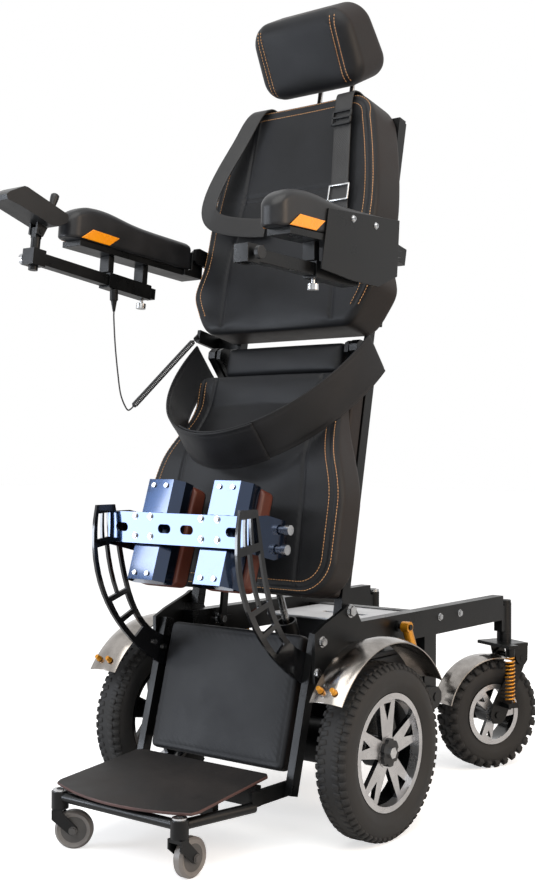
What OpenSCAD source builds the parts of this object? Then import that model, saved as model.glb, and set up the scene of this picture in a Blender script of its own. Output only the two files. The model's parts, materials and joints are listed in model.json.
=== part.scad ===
// Powered standing wheelchair with its seat raised to the standing pose.
// The front is -Y, the user's left is +X, up is +Z and the floor is z = 0.
// Places are given from the drive axle, then shifted so that the origin is below the middle.

/* [Drive wheels] */
// Outer diameter of a drive tyre
drive_d = 355; // [344:1:366]
// Width of a drive tyre
drive_w = 76; // [66:1:80]
// Outer diameter of a drive rim
drive_rim_d = 236; // [210:1:250]
// Distance between the drive tyre centres
drive_track = 600; // [596:1:620]
// Diameter of a drive axle shaft
drive_shaft_d = 20; // [16:1:26]
// Diameter of a drive motor
motor_d = 92; // [80:1:96]

/* [Fenders] */
// Radial gap from a drive tyre to its fender
fender_gap = 48; // [40:1:52]
// Thickness of the fender sheet
fender_t = 2.5; // [1.5:0.1:4]
// Reach of a fender on either side of its top, in degrees
fender_reach = 57; // [45:1:65]
// Drop of a fender's edges below its crown
fender_crown = 8; // [4:0.5:12]

/* [Rear casters] */
// Outer diameter of a rear caster tyre
caster_d = 264; // [250:1:270]
// Width of a rear caster tyre
caster_w = 66; // [56:1:68]
// Outer diameter of a rear caster rim
caster_rim_d = 148; // [120:1:170]
// Distance from the drive axle back to the swivel axes
caster_y = 722; // [700:1:760]
// Offset of a caster wheel from its swivel axis
caster_offset = 52; // [46:1:58]
// Swivel angle of the rear casters in the photographed pose
caster_swing = -24; // [-40:1:40]
// Diameter of a caster stem
stem_d = 20; // [16:1:24]
// Outside diameter of a caster spring
spring_d = 25; // [22:0.5:27]
// Wire diameter of a caster spring
spring_wire = 4; // [3:0.1:5]
// Curls in a caster spring
spring_curls = 12; // [8:1:14]

/* [Front castors] */
// Diameter of a front castor wheel
castor_d = 75; // [70:1:76]
// Width of a front castor wheel
castor_w = 23; // [18:1:24]
// Distance between the front castor stems
castor_track = 316; // [290:1:330]
// Distance of the front castor stems ahead of the drive axle
castor_reach = 437; // [430:1:450]
// Trail of a front castor wheel
castor_trail = 28; // [26:1:32]
// Swivel angle of the right front castor in the photographed pose
castor_swing = -52; // [-90:1:90]

/* [Base frame] */
// Distance between the middles of the side rails
rail_track = 394; // [380:1:400]
// Width of a side rail
rail_w = 30; // [26:1:34]
// Height of a side rail
rail_h = 60; // [50:1:64]
// Height of the top of the side rails
rail_top = 422; // [418:1:424]
// Wall of the square tubes
tube_wall = 3; // [2:0.5:4]
// Height of the suspension arm pivots
arm_pivot_z = 225; // [220:1:232]

/* [Seat and back] */
// Height of the seat pivot
seat_pivot_z = 450; // [448:1:456]
// Lean of the raised seat
seat_lean = 11.5; // [9:0.5:13]
// Length of the seat from its pivot to the hip line
seat_len = 546; // [540:1:560]
// Half width of the seat cushion
seat_half_w = 266; // [250:1:270]
// Lean of the back
back_lean = 12; // [10:0.5:14]
// Half width of the back cushion
back_half_w = 224; // [212:1:227]
// Height of the back cushion
back_h = 530; // [500:1:540]
// Half width of the headrest
head_half_w = 137; // [125:1:145]

/* [Legrest and knee support] */
// Length of the legrest from its pivot to the foot hinge
leg_len = 290; // [280:1:295]
// Lean of the legrest
leg_lean = 15; // [13:0.5:17]
// Thickness of a knee support arm
knee_arm_t = 6; // [4:0.5:6.5]
// Distance between the knee cups
knee_track = 178; // [170:1:190]
// Tilt of the knee cups
knee_tilt = 18; // [14:0.5:20]
// Half width of the footplate
foot_half_w = 183; // [175:1:184]
// Slope of the footplate
foot_tilt = 6; // [4:0.5:7]

/* [Armrests and controller] */
// Distance between the middles of the armrest pads
arm_track = 546; // [542:1:560]
// Width of an armrest pad
arm_pad_w = 60; // [50:1:62]
// Tilt of the right armrest in the photographed pose
arm_tilt = 5; // [0:0.5:6]
// Side of the square accessory bars
bar_side = 24; // [20:0.5:24]
// Tilt of the controller
controller_tilt = 20; // [16:0.5:24]
// Width of the controller
controller_w = 64; // [58:1:70]

/* [Belt and cord] */
// Width of the lap belt
belt_w = 95; // [70:1:100]
// Thickness of the lap belt
belt_t = 4; // [3:0.1:5]
// Diameter of the controller lead
lead_d = 3.4; // [3:0.1:3.8]
// Outside diameter of the curly cord
curl_d = 14; // [12:0.5:16]
// Curls in the curly cord
cord_curls = 50; // [40:1:54]

/* [Hidden] */
$fn = 48;

// Shift from the drive axle to the origin
origin_y = -147.43;
// Gap at a weld or a bolted face, running clearance and clearance of a free side
weld = 0.1;
run = 0.05;
free = 0.3;
// Colours of the finishes
frame_black = "#1b1c1e";
gloss_black = "#101114";
leather = "#26272a";
silver = "#c9cbce";
chrome = "#d8dade";
steel = "#a9acb0";
rubber = "#1d1d1d";
gold = "#d99a1e";
amber = "#f39a12";
pu_grey = "#8d9094";

// Heights and axes of the wheels
axle_z = drive_d / 2;
drive_x = drive_track / 2;
caster_z = caster_d / 2;
castor_z = castor_d / 2;
castor_x = castor_track / 2;

// Sideways stack of the frame, from the rails inwards and outwards
rail_x = rail_track / 2;
rail_in = rail_x - rail_w / 2;
rail_out = rail_x + rail_w / 2;
rail_low = rail_top - rail_h;
rail_front = -20;
rail_rear = caster_y - 32;
plate_in = rail_out + weld;
plate_out = plate_in + 8;
seat_out = rail_out - 6;
seat_in = seat_out - 20;
back_out = seat_in - 4;
back_in = back_out - 10;
link_out = back_in - 4;
link_in = link_out - 10;
leg_out = rail_out - 1;
leg_in = leg_out - 17;
knee_out = leg_in - weld;
knee_in = knee_out - knee_arm_t;
foot_out = leg_in - 0.5;
foot_in = foot_out - 9;
arm_in = rail_out + 2;
arm_out = arm_in + 12;
shock_x = arm_out + 10;

// Pivots in the side view, as [y, z]
seat_pivot = [14, seat_pivot_z];
leg_pivot = [-85, 398];
arm_pivot = [345, arm_pivot_z];
shock_top = [205, rail_top - 24];
shock_low = [279, arm_pivot_z + 17];
shock_dir = (shock_low - shock_top) / norm(shock_low - shock_top);
lift_pivot = [170, 180];
function up(a) = [sin(a), cos(a)];
function back(a) = [cos(a), -sin(a)];
hip_forward = 50;
hip_line = seat_pivot + seat_len * up(seat_lean);
hip_pivot = hip_line - hip_forward * back(seat_lean);
link_shift = [46, -52];
link_pivot = seat_pivot + link_shift;
link_top = hip_pivot + link_shift;
crank = [20, 60];
lift_top = seat_pivot + crank[1] * up(seat_lean) + crank[0] * back(seat_lean);
lift_len = norm(lift_top - lift_pivot);
lift_turn = atan2(lift_pivot[0] - lift_top[0], lift_top[1] - lift_pivot[1]);
foot_pivot = leg_pivot - leg_len * up(leg_lean);
arm_hinge = [60, 1225];
caster_pivot = [19, 268];

// Pin radii
seat_pin_r = 10;
leg_pin_r = 8;
link_pin_r = 8;
lift_pin_r = 7;
hip_pin_r = 9;
arm_pin_r = 8;

// Curves
function unit(v) = v / norm(v);
function bezier(p, t) = pow(1 - t, 3) * p[0] + 3 * t * pow(1 - t, 2) * p[1] + 3 * t * t * (1 - t) * p[2]
    + t * t * t * p[3];
function spline_point(p, i, t) = let (a = p[max(i - 1, 0)], b = p[i], c = p[i + 1], d = p[min(i + 2,
    len(p) - 1)])
    0.5 * (2 * b + (c - a) * t + (2 * a - 5 * b + 4 * c - d) * t * t + (3 * b - a - 3 * c + d) * t * t * t);
function spline(p, steps) = concat([for (i = [0 : len(p) - 2], k = [0 : steps - 1]) spline_point(p, i,
    k / steps)],
    [p[len(p) - 1]]);
function tangent(p, i) = unit(p[min(i + 1, len(p) - 1)] - p[max(i - 1, 0)]);
// A vector across the start of a path, carried along it without twist
function across(t) = unit(cross(t, abs(t[2]) < 0.9 ? [0, 0, 1] : [1, 0, 0]));
function carried(p) = [for (i = 0, n = across(tangent(p, 0)); i < len(p);
    i = i + 1, n = i < len(p) ? let (t = tangent(p, i)) unit(n - (n * t) * t) : n) n];
function ring_points(p, normals, r, sides) = [for (i = [0 : len(p) - 1], k = [0 : sides - 1])
    let (n = normals[i], b = cross(tangent(p, i), n), a = 360 * k / sides) p[i] + r * (cos(a) * n + sin(a)
        * b)];
// Triangles of a tube of rings, closed by a fan at both ends
function tube_faces(rings, m) = concat(
    [for (i = [0 : rings - 2], k = [0 : m - 1]) [i * m + k, (i + 1) * m + k, i * m + (k + 1) % m]],
    [for (i = [0 : rings - 2], k = [0 : m - 1]) [i * m + (k + 1) % m, (i + 1) * m + k, (i + 1) * m + (k +
        1) % m]],
    [for (k = [1 : m - 2]) [0, k, k + 1]],
    [for (k = [1 : m - 2]) let (e = (rings - 1) * m) [e, e + k + 1, e + k]]);
module tube(p, r, sides) {
    polyhedron(ring_points(p, carried(p), r, sides), tube_faces(len(p), sides));
}
// Least gap of a wound tube to itself, from half a turn to three turns on
function self_gap(p, wire, per_turn) = min([for (i = [0 : len(p) - 1], k = [ceil(per_turn / 2) : 3 *
    per_turn])
    i + k < len(p) ? norm(p[i] - p[i + k]) - wire : 1e9]);

// Rounded pad made of rings along z: w, front and crown are functions of z
function soft(v, e) = sign(v) * pow(abs(v), e);
function ease(u) = let (t = min(max(u, 0), 1)) t * t * (3 - 2 * t);
function pad_ring(z, w, rear, front, crown, pinch, m) = [for (k = [0 : m - 1])
    let (a = 360 * (k + 0.5) / m, ux = soft(cos(a), 0.45), uy = soft(sin(a), 0.45))
    [w * ux * (1 - pinch * (1 - uy * uy)), (rear + front) / 2 + (rear - front) / 2 * uy
        - (uy < 0 ? crown * (1 - ux * ux) * uy * uy : 0), z]];
pad_sides = 20;
pad_end_steps = 3;
function pad_levels(z0, z1, r, mids) = concat(
    [for (k = [0 : pad_end_steps - 1]) let (a = 90 * k / pad_end_steps) [z0 + r * (1 - cos(a)),
        r * (1 - sin(a))]],
    [for (k = [0 : mids]) [z0 + r + (z1 - z0 - 2 * r) * k / mids, 0]],
    [for (k = [pad_end_steps - 1 : -1 : 0]) let (a = 90 * k / pad_end_steps) [z1 - r * (1 - cos(a)),
        r * (1 - sin(a))]]);
module pad(z0, z1, r, mids, w, rear, front, crown, pinch) {
    levels = pad_levels(z0, z1, r, mids);
    points = [for (l = levels) each pad_ring(l[0], w(l[0]) - l[1], rear(l[0]) - 0.3 * l[1],
        front(l[0]) + 0.6 * l[1],
        crown(l[0]), pinch, pad_sides)];
    polyhedron(points, [for (f = tube_faces(len(levels), pad_sides)) [f[0], f[2], f[1]]]);
}
// Flat band along a path: across gives its width direction and out its thickness direction
module band(p, across, out, w, t) {
    points = [for (i = [0 : len(p) - 1]) each [p[i] - across[i] * w / 2, p[i] + across[i] * w / 2,
        p[i] + across[i] * w / 2 + out[i] * t, p[i] - across[i] * w / 2 + out[i] * t]];
    polyhedron(points, tube_faces(len(p), 4));
}

// Controller cord: the axis of its curly stretch, and the helix about it
cord_exit = [-262, -190, 1080];
curl_axis = [[-262, -130, 876], [-262, -66, 926], [-262, 0, 980], [-258, 66, 1034]];
curl_r = (curl_d - lead_d) / 2;
function axis_heading(t) = unit(bezier(curl_axis, t + 0.01) - bezier(curl_axis, t - 0.01));
function curl_point(t, a) = let (h = axis_heading(t), n = unit([1, 0, 0] - h[0] * h), b = cross(h, n))
    bezier(curl_axis, t) + curl_r * (cos(a) * n + sin(a) * b);
curl_heading = axis_heading(0);
end_heading = axis_heading(1);
curl_rings = 7;
wire_sides = 5;
curl_start = curl_point(0, 0) - lead_d * curl_heading;
cord_end = curl_point(1, 0) + lead_d * end_heading;
curl_path = concat([curl_start], [for (k = [0 : cord_curls * curl_rings])
    curl_point(k / (cord_curls * curl_rings), 360 * k / curl_rings)], [cord_end]);

// Building blocks
module place() { translate([0, origin_y, 0]) children(); }
module both() {
    children();
    mirror([1, 0, 0]) children();
}
module sided(side) { mirror([side < 0 ? 1 : 0, 0, 0]) children(); }
module box(x0, x1, y0, y1, z0, z1) { translate([x0, y0, z0]) cube([x1 - x0, y1 - y0, z1 - z0]); }
module pin_x(p, x0, x1, r) { translate([x0, p[0], p[1]]) rotate([0, 90, 0]) cylinder(r = r, h = x1 - x0); }
module slab(x0, x1, outline) { translate([x0, 0, 0]) rotate([90, 0, 90]) linear_extrude(x1 - x0)
    polygon(outline); }
module rod(a, b, r) {
    d = b - a;
    translate(a) rotate([0, acos(d[2] / norm(d)), atan2(d[1], d[0])]) cylinder(r = r, h = norm(d));
}
module hex_bolt(p, x, r, h) {
    translate([x, p[0], p[1]]) rotate([0, 90, 0]) {
        cylinder(r = r * 1.25, h = h * 0.25);
        cylinder(r = r, h = h, $fn = 6);
    }
}
module seat_space() { translate([0, seat_pivot[0], seat_pivot[1]]) rotate([-seat_lean, 0, 0]) children(); }
module back_space() { translate([0, hip_line[0], hip_line[1]]) rotate([-back_lean, 0, 0]) children(); }
module leg_space() { translate([0, leg_pivot[0], leg_pivot[1]]) rotate([-leg_lean, 0, 0]) children(); }
module lift_space() { translate([0, lift_pivot[0], lift_pivot[1]]) rotate([lift_turn, 0, 0]) children(); }
// A pivot given in the side view, in the axes of the seat or the back
function turned(p, base, a) = [(p - base) * back(a), (p - base) * up(a)];

// Base frame
tray_z = 140;
tray_t = 7;
tray_front = 58;
bar_y = 415;
bar_depth = 30;
bar_top = 402;
drop_y = [322, 372];
lug_in = 26;
lug_t = 6;
accessory_pitch = 120;
accessory_hole_d = 8.5;
module rail() {
    difference() {
        box(rail_in, rail_out, rail_front, rail_rear, rail_low, rail_top);
        box(rail_in + tube_wall, rail_out - tube_wall, rail_front + tube_wall, rail_rear + 1,
            rail_low + tube_wall,
            rail_top - tube_wall);
    }
}
head_d = 36;
head_low = 327;
head_h = 74;
module caster_head() {
    difference() {
        union() {
            translate([rail_x, caster_y, head_low]) cylinder(d = head_d, h = head_h);
            box(rail_x - 11, rail_x + 11, rail_rear + weld, caster_y, head_low + 6, head_low + head_h - 6);
        }
        translate([rail_x, caster_y, head_low - 1]) cylinder(d = stem_d + 2 * run, h = head_h + 2);
    }
}
module pivot_plate() {
    slab(plate_in, plate_out, [leg_pivot + [-24, -82], leg_pivot + [-24, 18], leg_pivot + [10, 34],
        seat_pivot + [-16, 8], seat_pivot + [-8, 13], seat_pivot + [8, 13], seat_pivot + [20, 4],
        [seat_pivot[0] + 54, rail_top - 18], [seat_pivot[0] + 54, rail_low], [rail_front + 8, rail_low],
        leg_pivot + [10, -82]]);
    pin_x(seat_pivot, seat_in - 1, plate_in + 1, seat_pin_r - run);
    pin_x(leg_pivot, leg_in, plate_in + 1, leg_pin_r - run);
}
module drop_bracket() {
    box(rail_out - 28, rail_out - 2, drop_y[0], drop_y[1], arm_pivot_z - 22, rail_low - weld);
    pin_x(arm_pivot, rail_out - 3, arm_out + 2, seat_pin_r - run);
}
module link_stud() {
    pin_x(link_pivot, rail_in - 6, rail_in - weld, link_pin_r + 4);
    pin_x(link_pivot, link_in - 1, rail_in - 5, link_pin_r - run);
}
module shock_stud() {
    pin_x(shock_top, rail_out + weld, rail_out + 6, 12);
    pin_x(shock_top, rail_out + 5, shock_x + 12, 6);
}
module lift_lug() {
    box(lug_in, lug_in + lug_t, lift_pivot[0] - 16, lift_pivot[0] + 16, tray_z + tray_t + weld,
        lift_pivot[1] + 14);
    pin_x(lift_pivot, weld / 2, lug_in + 1, lift_pin_r - run);
}
module rear_bar() {
    difference() {
        box(-rail_in + weld, rail_in - weld, bar_y, bar_y + bar_depth, bar_top - bar_depth, bar_top);
        for (s = [-1, 1]) translate([s * accessory_pitch / 2, bar_y + bar_depth / 2, bar_top - bar_depth -
            1])
            cylinder(d = accessory_hole_d, h = bar_depth + 2);
    }
}
module base_frame() {
    color(frame_black) place() {
        both() {
            rail();
            caster_head();
            pivot_plate();
            drop_bracket();
            link_stud();
            shock_stud();
            lift_lug();
            hex_bolt(seat_pivot, plate_out + weld, 11, 9);
            hex_bolt(leg_pivot, plate_out + weld, 9, 7);
            hex_bolt(leg_pivot + [-17, -60], plate_out + weld, 8, 6);
            for (y = [bar_y - 30, bar_y + 60]) hex_bolt([y, rail_top - 22], rail_out + weld, 7, 5);
            box(rail_in - 7, rail_in - weld, tray_front + 20, tray_front + 50, tray_z + tray_t + weld,
                rail_top - 20);
        }
        box(-plate_in + weld, plate_in - weld, -60, -30, 345, 372);
        rear_bar();
        box(-rail_out + 28 + weld, rail_out - 28 - weld, 345, 372, arm_pivot_z - 20, arm_pivot_z + 10);
        box(-rail_in - 1, rail_in + 1, tray_front, 345 - weld, tray_z, tray_z + tray_t);
        box(-150, 150, 338, 345 - weld, tray_z + tray_t + weld, arm_pivot_z + 10);
    }
}
deck_z = 395;
deck_t = 5;
deck_front = 205;
module deck_plate() {
    color(silver) place() difference() {
        box(-150, 150, deck_front, bar_y - weld, deck_z, deck_z + deck_t);
        box(-60, 60, deck_front + 90, deck_front + 112, deck_z - 1, deck_z + deck_t + 1);
    }
}
battery_top = 322;
module power_pack() {
    color(gloss_black) place() {
        both() {
            box(36, 165, tray_front + 8, 332, tray_z + tray_t + weld, battery_top);
            box(40, 161, tray_front + 12, 328, battery_top + weld, battery_top + 12);
            for (y = [tray_front + 40, 292]) translate([100, y, battery_top + 12 + weld]) cylinder(d = 22,
                h = 9);
            box(118, 132, 230, 280, battery_top + 12 + weld, battery_top + 22);
        }
        box(-126, 126, 225, 285, battery_top + 22 + weld, deck_z - 1);
        for (k = [-4 : 4]) box(k * 24 - 3, k * 24 + 3, 285 + weld, 293, battery_top + 28, deck_z - 6);
    }
}

// Drive suspension
rim_face = 24;
shock_bore = 8;
shock_body_len = 115;
module along_shock() {
    translate([shock_x, shock_top[0], shock_top[1]]) rotate([atan2(-shock_dir[0], shock_dir[1]), 0,
        0]) children();
}
module shock_bodies() {
    color(gold) place() both() difference() {
        union() {
            along_shock() translate([0, 0, 6]) cylinder(r = 11, h = shock_body_len - 6);
            pin_x(shock_top, shock_x - 9, shock_x + 9, 12);
        }
        pin_x(shock_top, shock_x - 10, shock_x + 10, 6 + run);
        along_shock() translate([0, 0, 30]) cylinder(r = shock_bore, h = shock_body_len);
    }
}
module drive_arm(side) {
    color(frame_black) place() sided(side) {
        difference() {
            union() {
                slab(arm_in, arm_out, [[-44, axle_z - 26], [-44, axle_z + 26], [-20, axle_z + 44],
                    arm_pivot + [-70, 30], arm_pivot + [10, 22], arm_pivot + [24, 8], arm_pivot + [24, -10],
                    arm_pivot + [8, -24], [60, axle_z - 40], [-22, axle_z - 44]]);
                pin_x([0, axle_z], arm_out - 1, drive_x + rim_face - 5, drive_shaft_d / 2 - run);
                pin_x(shock_low, arm_out - 1, shock_x + 8, 7);
                along_shock() translate([0, 0, norm(shock_low - shock_top) - 75]) cylinder(r = 4.5, h = 72);
            }
            pin_x(arm_pivot, arm_in - 1, arm_out + 1, seat_pin_r);
        }
        pin_x([0, axle_z], arm_in - 34, arm_in - weld, motor_d / 2 + 8);
        pin_x([0, axle_z], 52, arm_in - 34 - weld, motor_d / 2);
    }
}
module drive_arm_left() { drive_arm(1); }
module drive_arm_right() { drive_arm(-1); }

// Fenders, made by turning a crowned strip about the axle
fender_r = drive_d / 2 + fender_gap;
fender_steps = 8;
stud_turn = fender_reach - 6;
function fender_edge(lift) = [for (k = [-fender_steps / 2 : fender_steps / 2]) let (v = 2 * k /
    fender_steps)
    [fender_r + lift - fender_crown * v * v, v * drive_w / 2]];
module about_axle(turn) { translate([drive_x, 0, axle_z]) rotate([0, 90, 0]) rotate([0, 0,
    turn]) children(); }
function reversed(list) = [for (k = [len(list) - 1 : -1 : 0]) list[k]];
module fender(side) {
    stay_top = axle_z + sqrt(pow(fender_r - fender_crown, 2) - 60 * 60) - free;
    color(chrome) place() sided(side) {
        about_axle(180 - fender_reach) rotate_extrude(angle = 2 * fender_reach)
            polygon(concat(fender_edge(0), reversed(fender_edge(fender_t))));
        box(plate_out + weld, drive_x - drive_w / 2 + 14, 26, 60, stay_top - 9, stay_top);
        for (k = [-1, 1]) about_axle(180 + stud_turn) translate([fender_r + fender_t + weld, 0, k * 16])
            rotate([0, 90, 0]) cylinder(d1 = 14, d2 = 9, h = 12);
    }
}
module fender_left() { fender(1); }
module fender_right() { fender(-1); }

// Wheels, turned about x with their outer face towards +x
module about_x() { rotate([90, 0, 90]) children(); }
function tyre_profile(outer, inner, w, steps) = [for (k = [0 : steps - 1]) let (a = 360 * (k + 0.5) / steps)
    [(outer + inner) / 2 + (outer - inner) / 2 * soft(cos(a), 0.62) / soft(cos(180 / steps), 0.62),
        w / 2 * soft(sin(a), 0.7) / soft(sin(90 - 180 / steps), 0.7)]];
module tyre(d, rim_d, w) { about_x() rotate_extrude() polygon(tyre_profile(d / 2, rim_d / 2 + weld, w,
    20)); }
// Rim of a barrel, a hub and forked spokes
module rim(rim_d, barrel_w, face, hub_d, bore_d, spokes, lean, first) {
    ring = 12;
    about_x() {
        difference() {
            union() {
                rotate_extrude() polygon([[rim_d / 2 - 7, -barrel_w / 2], [rim_d / 2, -barrel_w / 2],
                    [rim_d / 2, barrel_w / 2], [rim_d / 2 - ring, barrel_w / 2], [rim_d / 2 - ring, face - 16],
                    [rim_d / 2 - 7, face - 16]]);
                for (k = [0 : spokes - 1]) rotate([0, 0, 360 * k / spokes + first]) translate([0, 0, face - 14])
                    linear_extrude(10) difference() {
                        intersection() {
                            polygon([[hub_d * 0.3, -hub_d * 0.26], [rim_d / 2, -rim_d * 0.13 + lean],
                                [rim_d / 2, rim_d * 0.13 + lean], [hub_d * 0.3, hub_d * 0.26]]);
                            circle(r = rim_d / 2 - 3);
                        }
                        polygon([[rim_d * 0.27, lean / 2], [rim_d / 2 - ring - 8, -rim_d * 0.055 + lean],
                            [rim_d / 2 - ring - 8, rim_d * 0.055 + lean]]);
                    }
                translate([0, 0, -barrel_w / 2 + 6]) cylinder(d = hub_d, h = barrel_w / 2 - 6 + face - 3);
            }
            translate([0, 0, -barrel_w]) cylinder(d = bore_d, h = barrel_w * 3);
        }
    }
}
module drive_tyre(side) { color(rubber) place() sided(side) translate([drive_x, 0, axle_z]) tyre(drive_d,
    drive_rim_d, drive_w); }
module drive_tyre_left() { drive_tyre(1); }
module drive_tyre_right() { drive_tyre(-1); }
module drive_rim(side) {
    color(silver) place() sided(side) translate([drive_x, 0, axle_z]) {
        rim(drive_rim_d, 58, rim_face, 64, drive_shaft_d, 5, 0, 90);
        about_x() translate([0, 0, rim_face - 3 + weld]) {
            difference() {
                cylinder(d = 56, h = 8);
                for (a = [0 : 60 : 300]) rotate([0, 0, a]) translate([30, 0, -1]) cylinder(d = 13, h = 10);
            }
            translate([0, 0, 8 + weld]) cylinder(d = 24, h = 6, $fn = 6);
        }
    }
}
module drive_rim_left() { drive_rim(1); }
module drive_rim_right() { drive_rim(-1); }

// Rear casters, in their own axes: x outwards, y away from the offset wheel
module caster_space(side) {
    translate([side * rail_x, caster_y, 0]) rotate([0, 0, caster_swing]) sided(side) children();
}
caster_axle = [-caster_offset, caster_z];
cheek_in = caster_w / 2 + 10.3;
swing_in = caster_w / 2 + 3.5;
spring_place = [cheek_in + 19, -30];
spring_low = 165;
spring_high = 277;
crown_z = 297;
crown_t = 8;
module caster_crown(side) {
    color(frame_black) place() caster_space(side) {
        difference() {
            union() {
                box(-cheek_in - 5, cheek_in + 5, -46, 37, crown_z, crown_z + crown_t);
                box(cheek_in, spring_place[0] + 14, spring_place[1] - 15, spring_place[1] + 15, crown_z,
                    crown_z + crown_t);
                translate([spring_place[0], spring_place[1], spring_high + free])
                    cylinder(d = spring_d - 2, h = crown_z - spring_high);
                translate([0, 0, crown_z]) cylinder(d = stem_d, h = head_low + head_h + 8 - crown_z);
                translate([0, 0, crown_z]) cylinder(d = head_d, h = head_low - free - crown_z);
                both() slab(cheek_in, cheek_in + 5, [[-8, crown_z + 1], caster_pivot + [-18, -6],
                    caster_pivot + [-8, -16],
                    caster_pivot + [8, -16], caster_pivot + [16, -6], [36, crown_z + 1]]);
            }
            pin_x(caster_pivot, -60, 60, 7);
        }
        translate([0, 0, head_low + head_h + free]) difference() {
            cylinder(d = head_d - 2, h = 7);
            translate([0, 0, -1]) cylinder(d = stem_d + 2 * weld, h = 9);
        }
    }
}
module caster_crown_left() { caster_crown(1); }
module caster_crown_right() { caster_crown(-1); }
guard_gap = 5;
module caster_fork(side) {
    guard_r = caster_d / 2 + guard_gap;
    color(frame_black) place() caster_space(side) {
        pin_x(caster_pivot, -cheek_in - 6, cheek_in + 6, 7 - run);
        pin_x(caster_axle, -swing_in - 10, swing_in + 10, 8 - run);
        both() difference() {
            slab(swing_in, swing_in + 6, [caster_pivot + [-16, 6], caster_pivot + [-4, 15],
                caster_pivot + [12, 10],
                caster_pivot + [15, -8], caster_axle + [22, -12], caster_axle + [8, -22],
                    caster_axle + [-12, -20],
                caster_axle + [-22, 2], caster_axle + [-14, 24]]);
            pin_x(caster_pivot, swing_in - 1, swing_in + 7, 7 - run + weld);
            pin_x(caster_axle, swing_in - 1, swing_in + 7, 8 - run + weld);
        }
        difference() {
            slab(swing_in + 6 + weld, spring_place[0] + 14, [[spring_place[1] - 15, spring_low - 12],
                [spring_place[1] - 15, spring_low - free], [spring_place[1] + 15, spring_low - free],
                [spring_place[1] + 15, spring_low - 12]]);
            pin_x(caster_axle, 0, 100, 9);
        }
        translate([0, caster_axle[0], caster_axle[1]]) rotate([0, 90, 0]) rotate([0, 0, 160])
            rotate_extrude(angle = 96)
            polygon([[guard_r, -swing_in + weld], [guard_r + 3, -swing_in + weld], [guard_r + 8, 0],
                [guard_r + 3, swing_in - weld], [guard_r, swing_in - weld], [guard_r + 5, 0]]);
    }
}
module caster_fork_left() { caster_fork(1); }
module caster_fork_right() { caster_fork(-1); }
spring_mid_r = (spring_d - spring_wire) / 2;
spring_rise = spring_high - spring_low - 2 * spring_wire;
spring_path = concat([[spring_mid_r, 0, spring_low]],
    [for (k = [0 : spring_curls * curl_rings]) let (a = 360 * k / curl_rings)
        [spring_mid_r * cos(a), spring_mid_r * sin(a), spring_low + spring_wire + spring_rise * k /
            (spring_curls * curl_rings)]],
    [[spring_mid_r, 0, spring_high]]);
module caster_spring(side) {
    color(gold) place() caster_space(side) translate([spring_place[0], spring_place[1], 0])
        tube(spring_path, spring_wire / 2, wire_sides);
}
module caster_spring_left() { caster_spring(1); }
module caster_spring_right() { caster_spring(-1); }
module at_caster_axle(side) { caster_space(side) translate([0, caster_axle[0], caster_axle[1]]) children();
    }
module caster_tyre(side) { color(rubber) place() at_caster_axle(side) tyre(caster_d, caster_rim_d,
    caster_w); }
module caster_tyre_left() { caster_tyre(1); }
module caster_tyre_right() { caster_tyre(-1); }
module caster_rim(side) { color(silver) place() at_caster_axle(side) rim(caster_rim_d, 54, 29, 44, 16,
    3, 14, 0); }
module caster_rim_left() { caster_rim(1); }
module caster_rim_right() { caster_rim(-1); }

// Front castors, in their own axes: y along the trail
castor_barrel_d = 34;
castor_barrel_low = castor_d + 3;
castor_barrel_h = 34;
castor_stem_d = 14;
module castor_space(side) {
    translate([side * castor_x, -castor_reach, 0]) rotate([0, 0, side < 0 ? castor_swing : 0]) children();
}
castor_axle = [castor_trail, castor_z];
castor_cheek = castor_w / 2 + 1.5;
module front_fork(side) {
    color(frame_black) place() castor_space(side) {
        difference() {
            union() {
                box(-castor_cheek - 4, castor_cheek + 4, -14, 7, castor_d - 4, castor_barrel_low - free);
                translate([0, 0, castor_d - 4]) cylinder(d = castor_stem_d, h = castor_barrel_h + 8);
                both() slab(castor_cheek, castor_cheek + 4, [[-14, castor_d - 3], [-14, castor_d - 16],
                    castor_axle + [-9, -6],
                    castor_axle + [-2, -10], castor_axle + [8, -6], castor_axle + [8, 6], [7,
                        castor_d - 3]]);
            }
            pin_x(castor_axle, -40, 40, 4 + run);
        }
        translate([0, 0, castor_barrel_low + castor_barrel_h + free]) difference() {
            cylinder(d = castor_barrel_d - 6, h = 3.5);
            translate([0, 0, -1]) cylinder(d = castor_stem_d + 2 * weld, h = 7);
        }
    }
}
module front_fork_left() { front_fork(1); }
module front_fork_right() { front_fork(-1); }
module front_wheel(side) {
    color(pu_grey) place() castor_space(side) translate([0, castor_axle[0], castor_axle[1]]) {
        about_x() rotate_extrude() polygon([[9, -castor_w / 2], [castor_z - 12, -castor_w / 2 + 3],
            [castor_z - 5, -castor_w / 2],
            [castor_z, -castor_w / 2 + 5], [castor_z, castor_w / 2 - 5], [castor_z - 5, castor_w / 2],
            [castor_z - 12, castor_w / 2 - 3], [9, castor_w / 2]]);
        about_x() translate([0, 0, -castor_w / 2 - 0.5]) cylinder(r = 9 - weld, h = castor_w + 1);
        pin_x([0, 0], -castor_cheek - 8, castor_cheek + 8, 4);
        both() hex_bolt([0, 0], castor_cheek + 4 + free, 7, 4);
    }
}
module front_wheel_left() { front_wheel(1); }
module front_wheel_right() { front_wheel(-1); }

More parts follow.
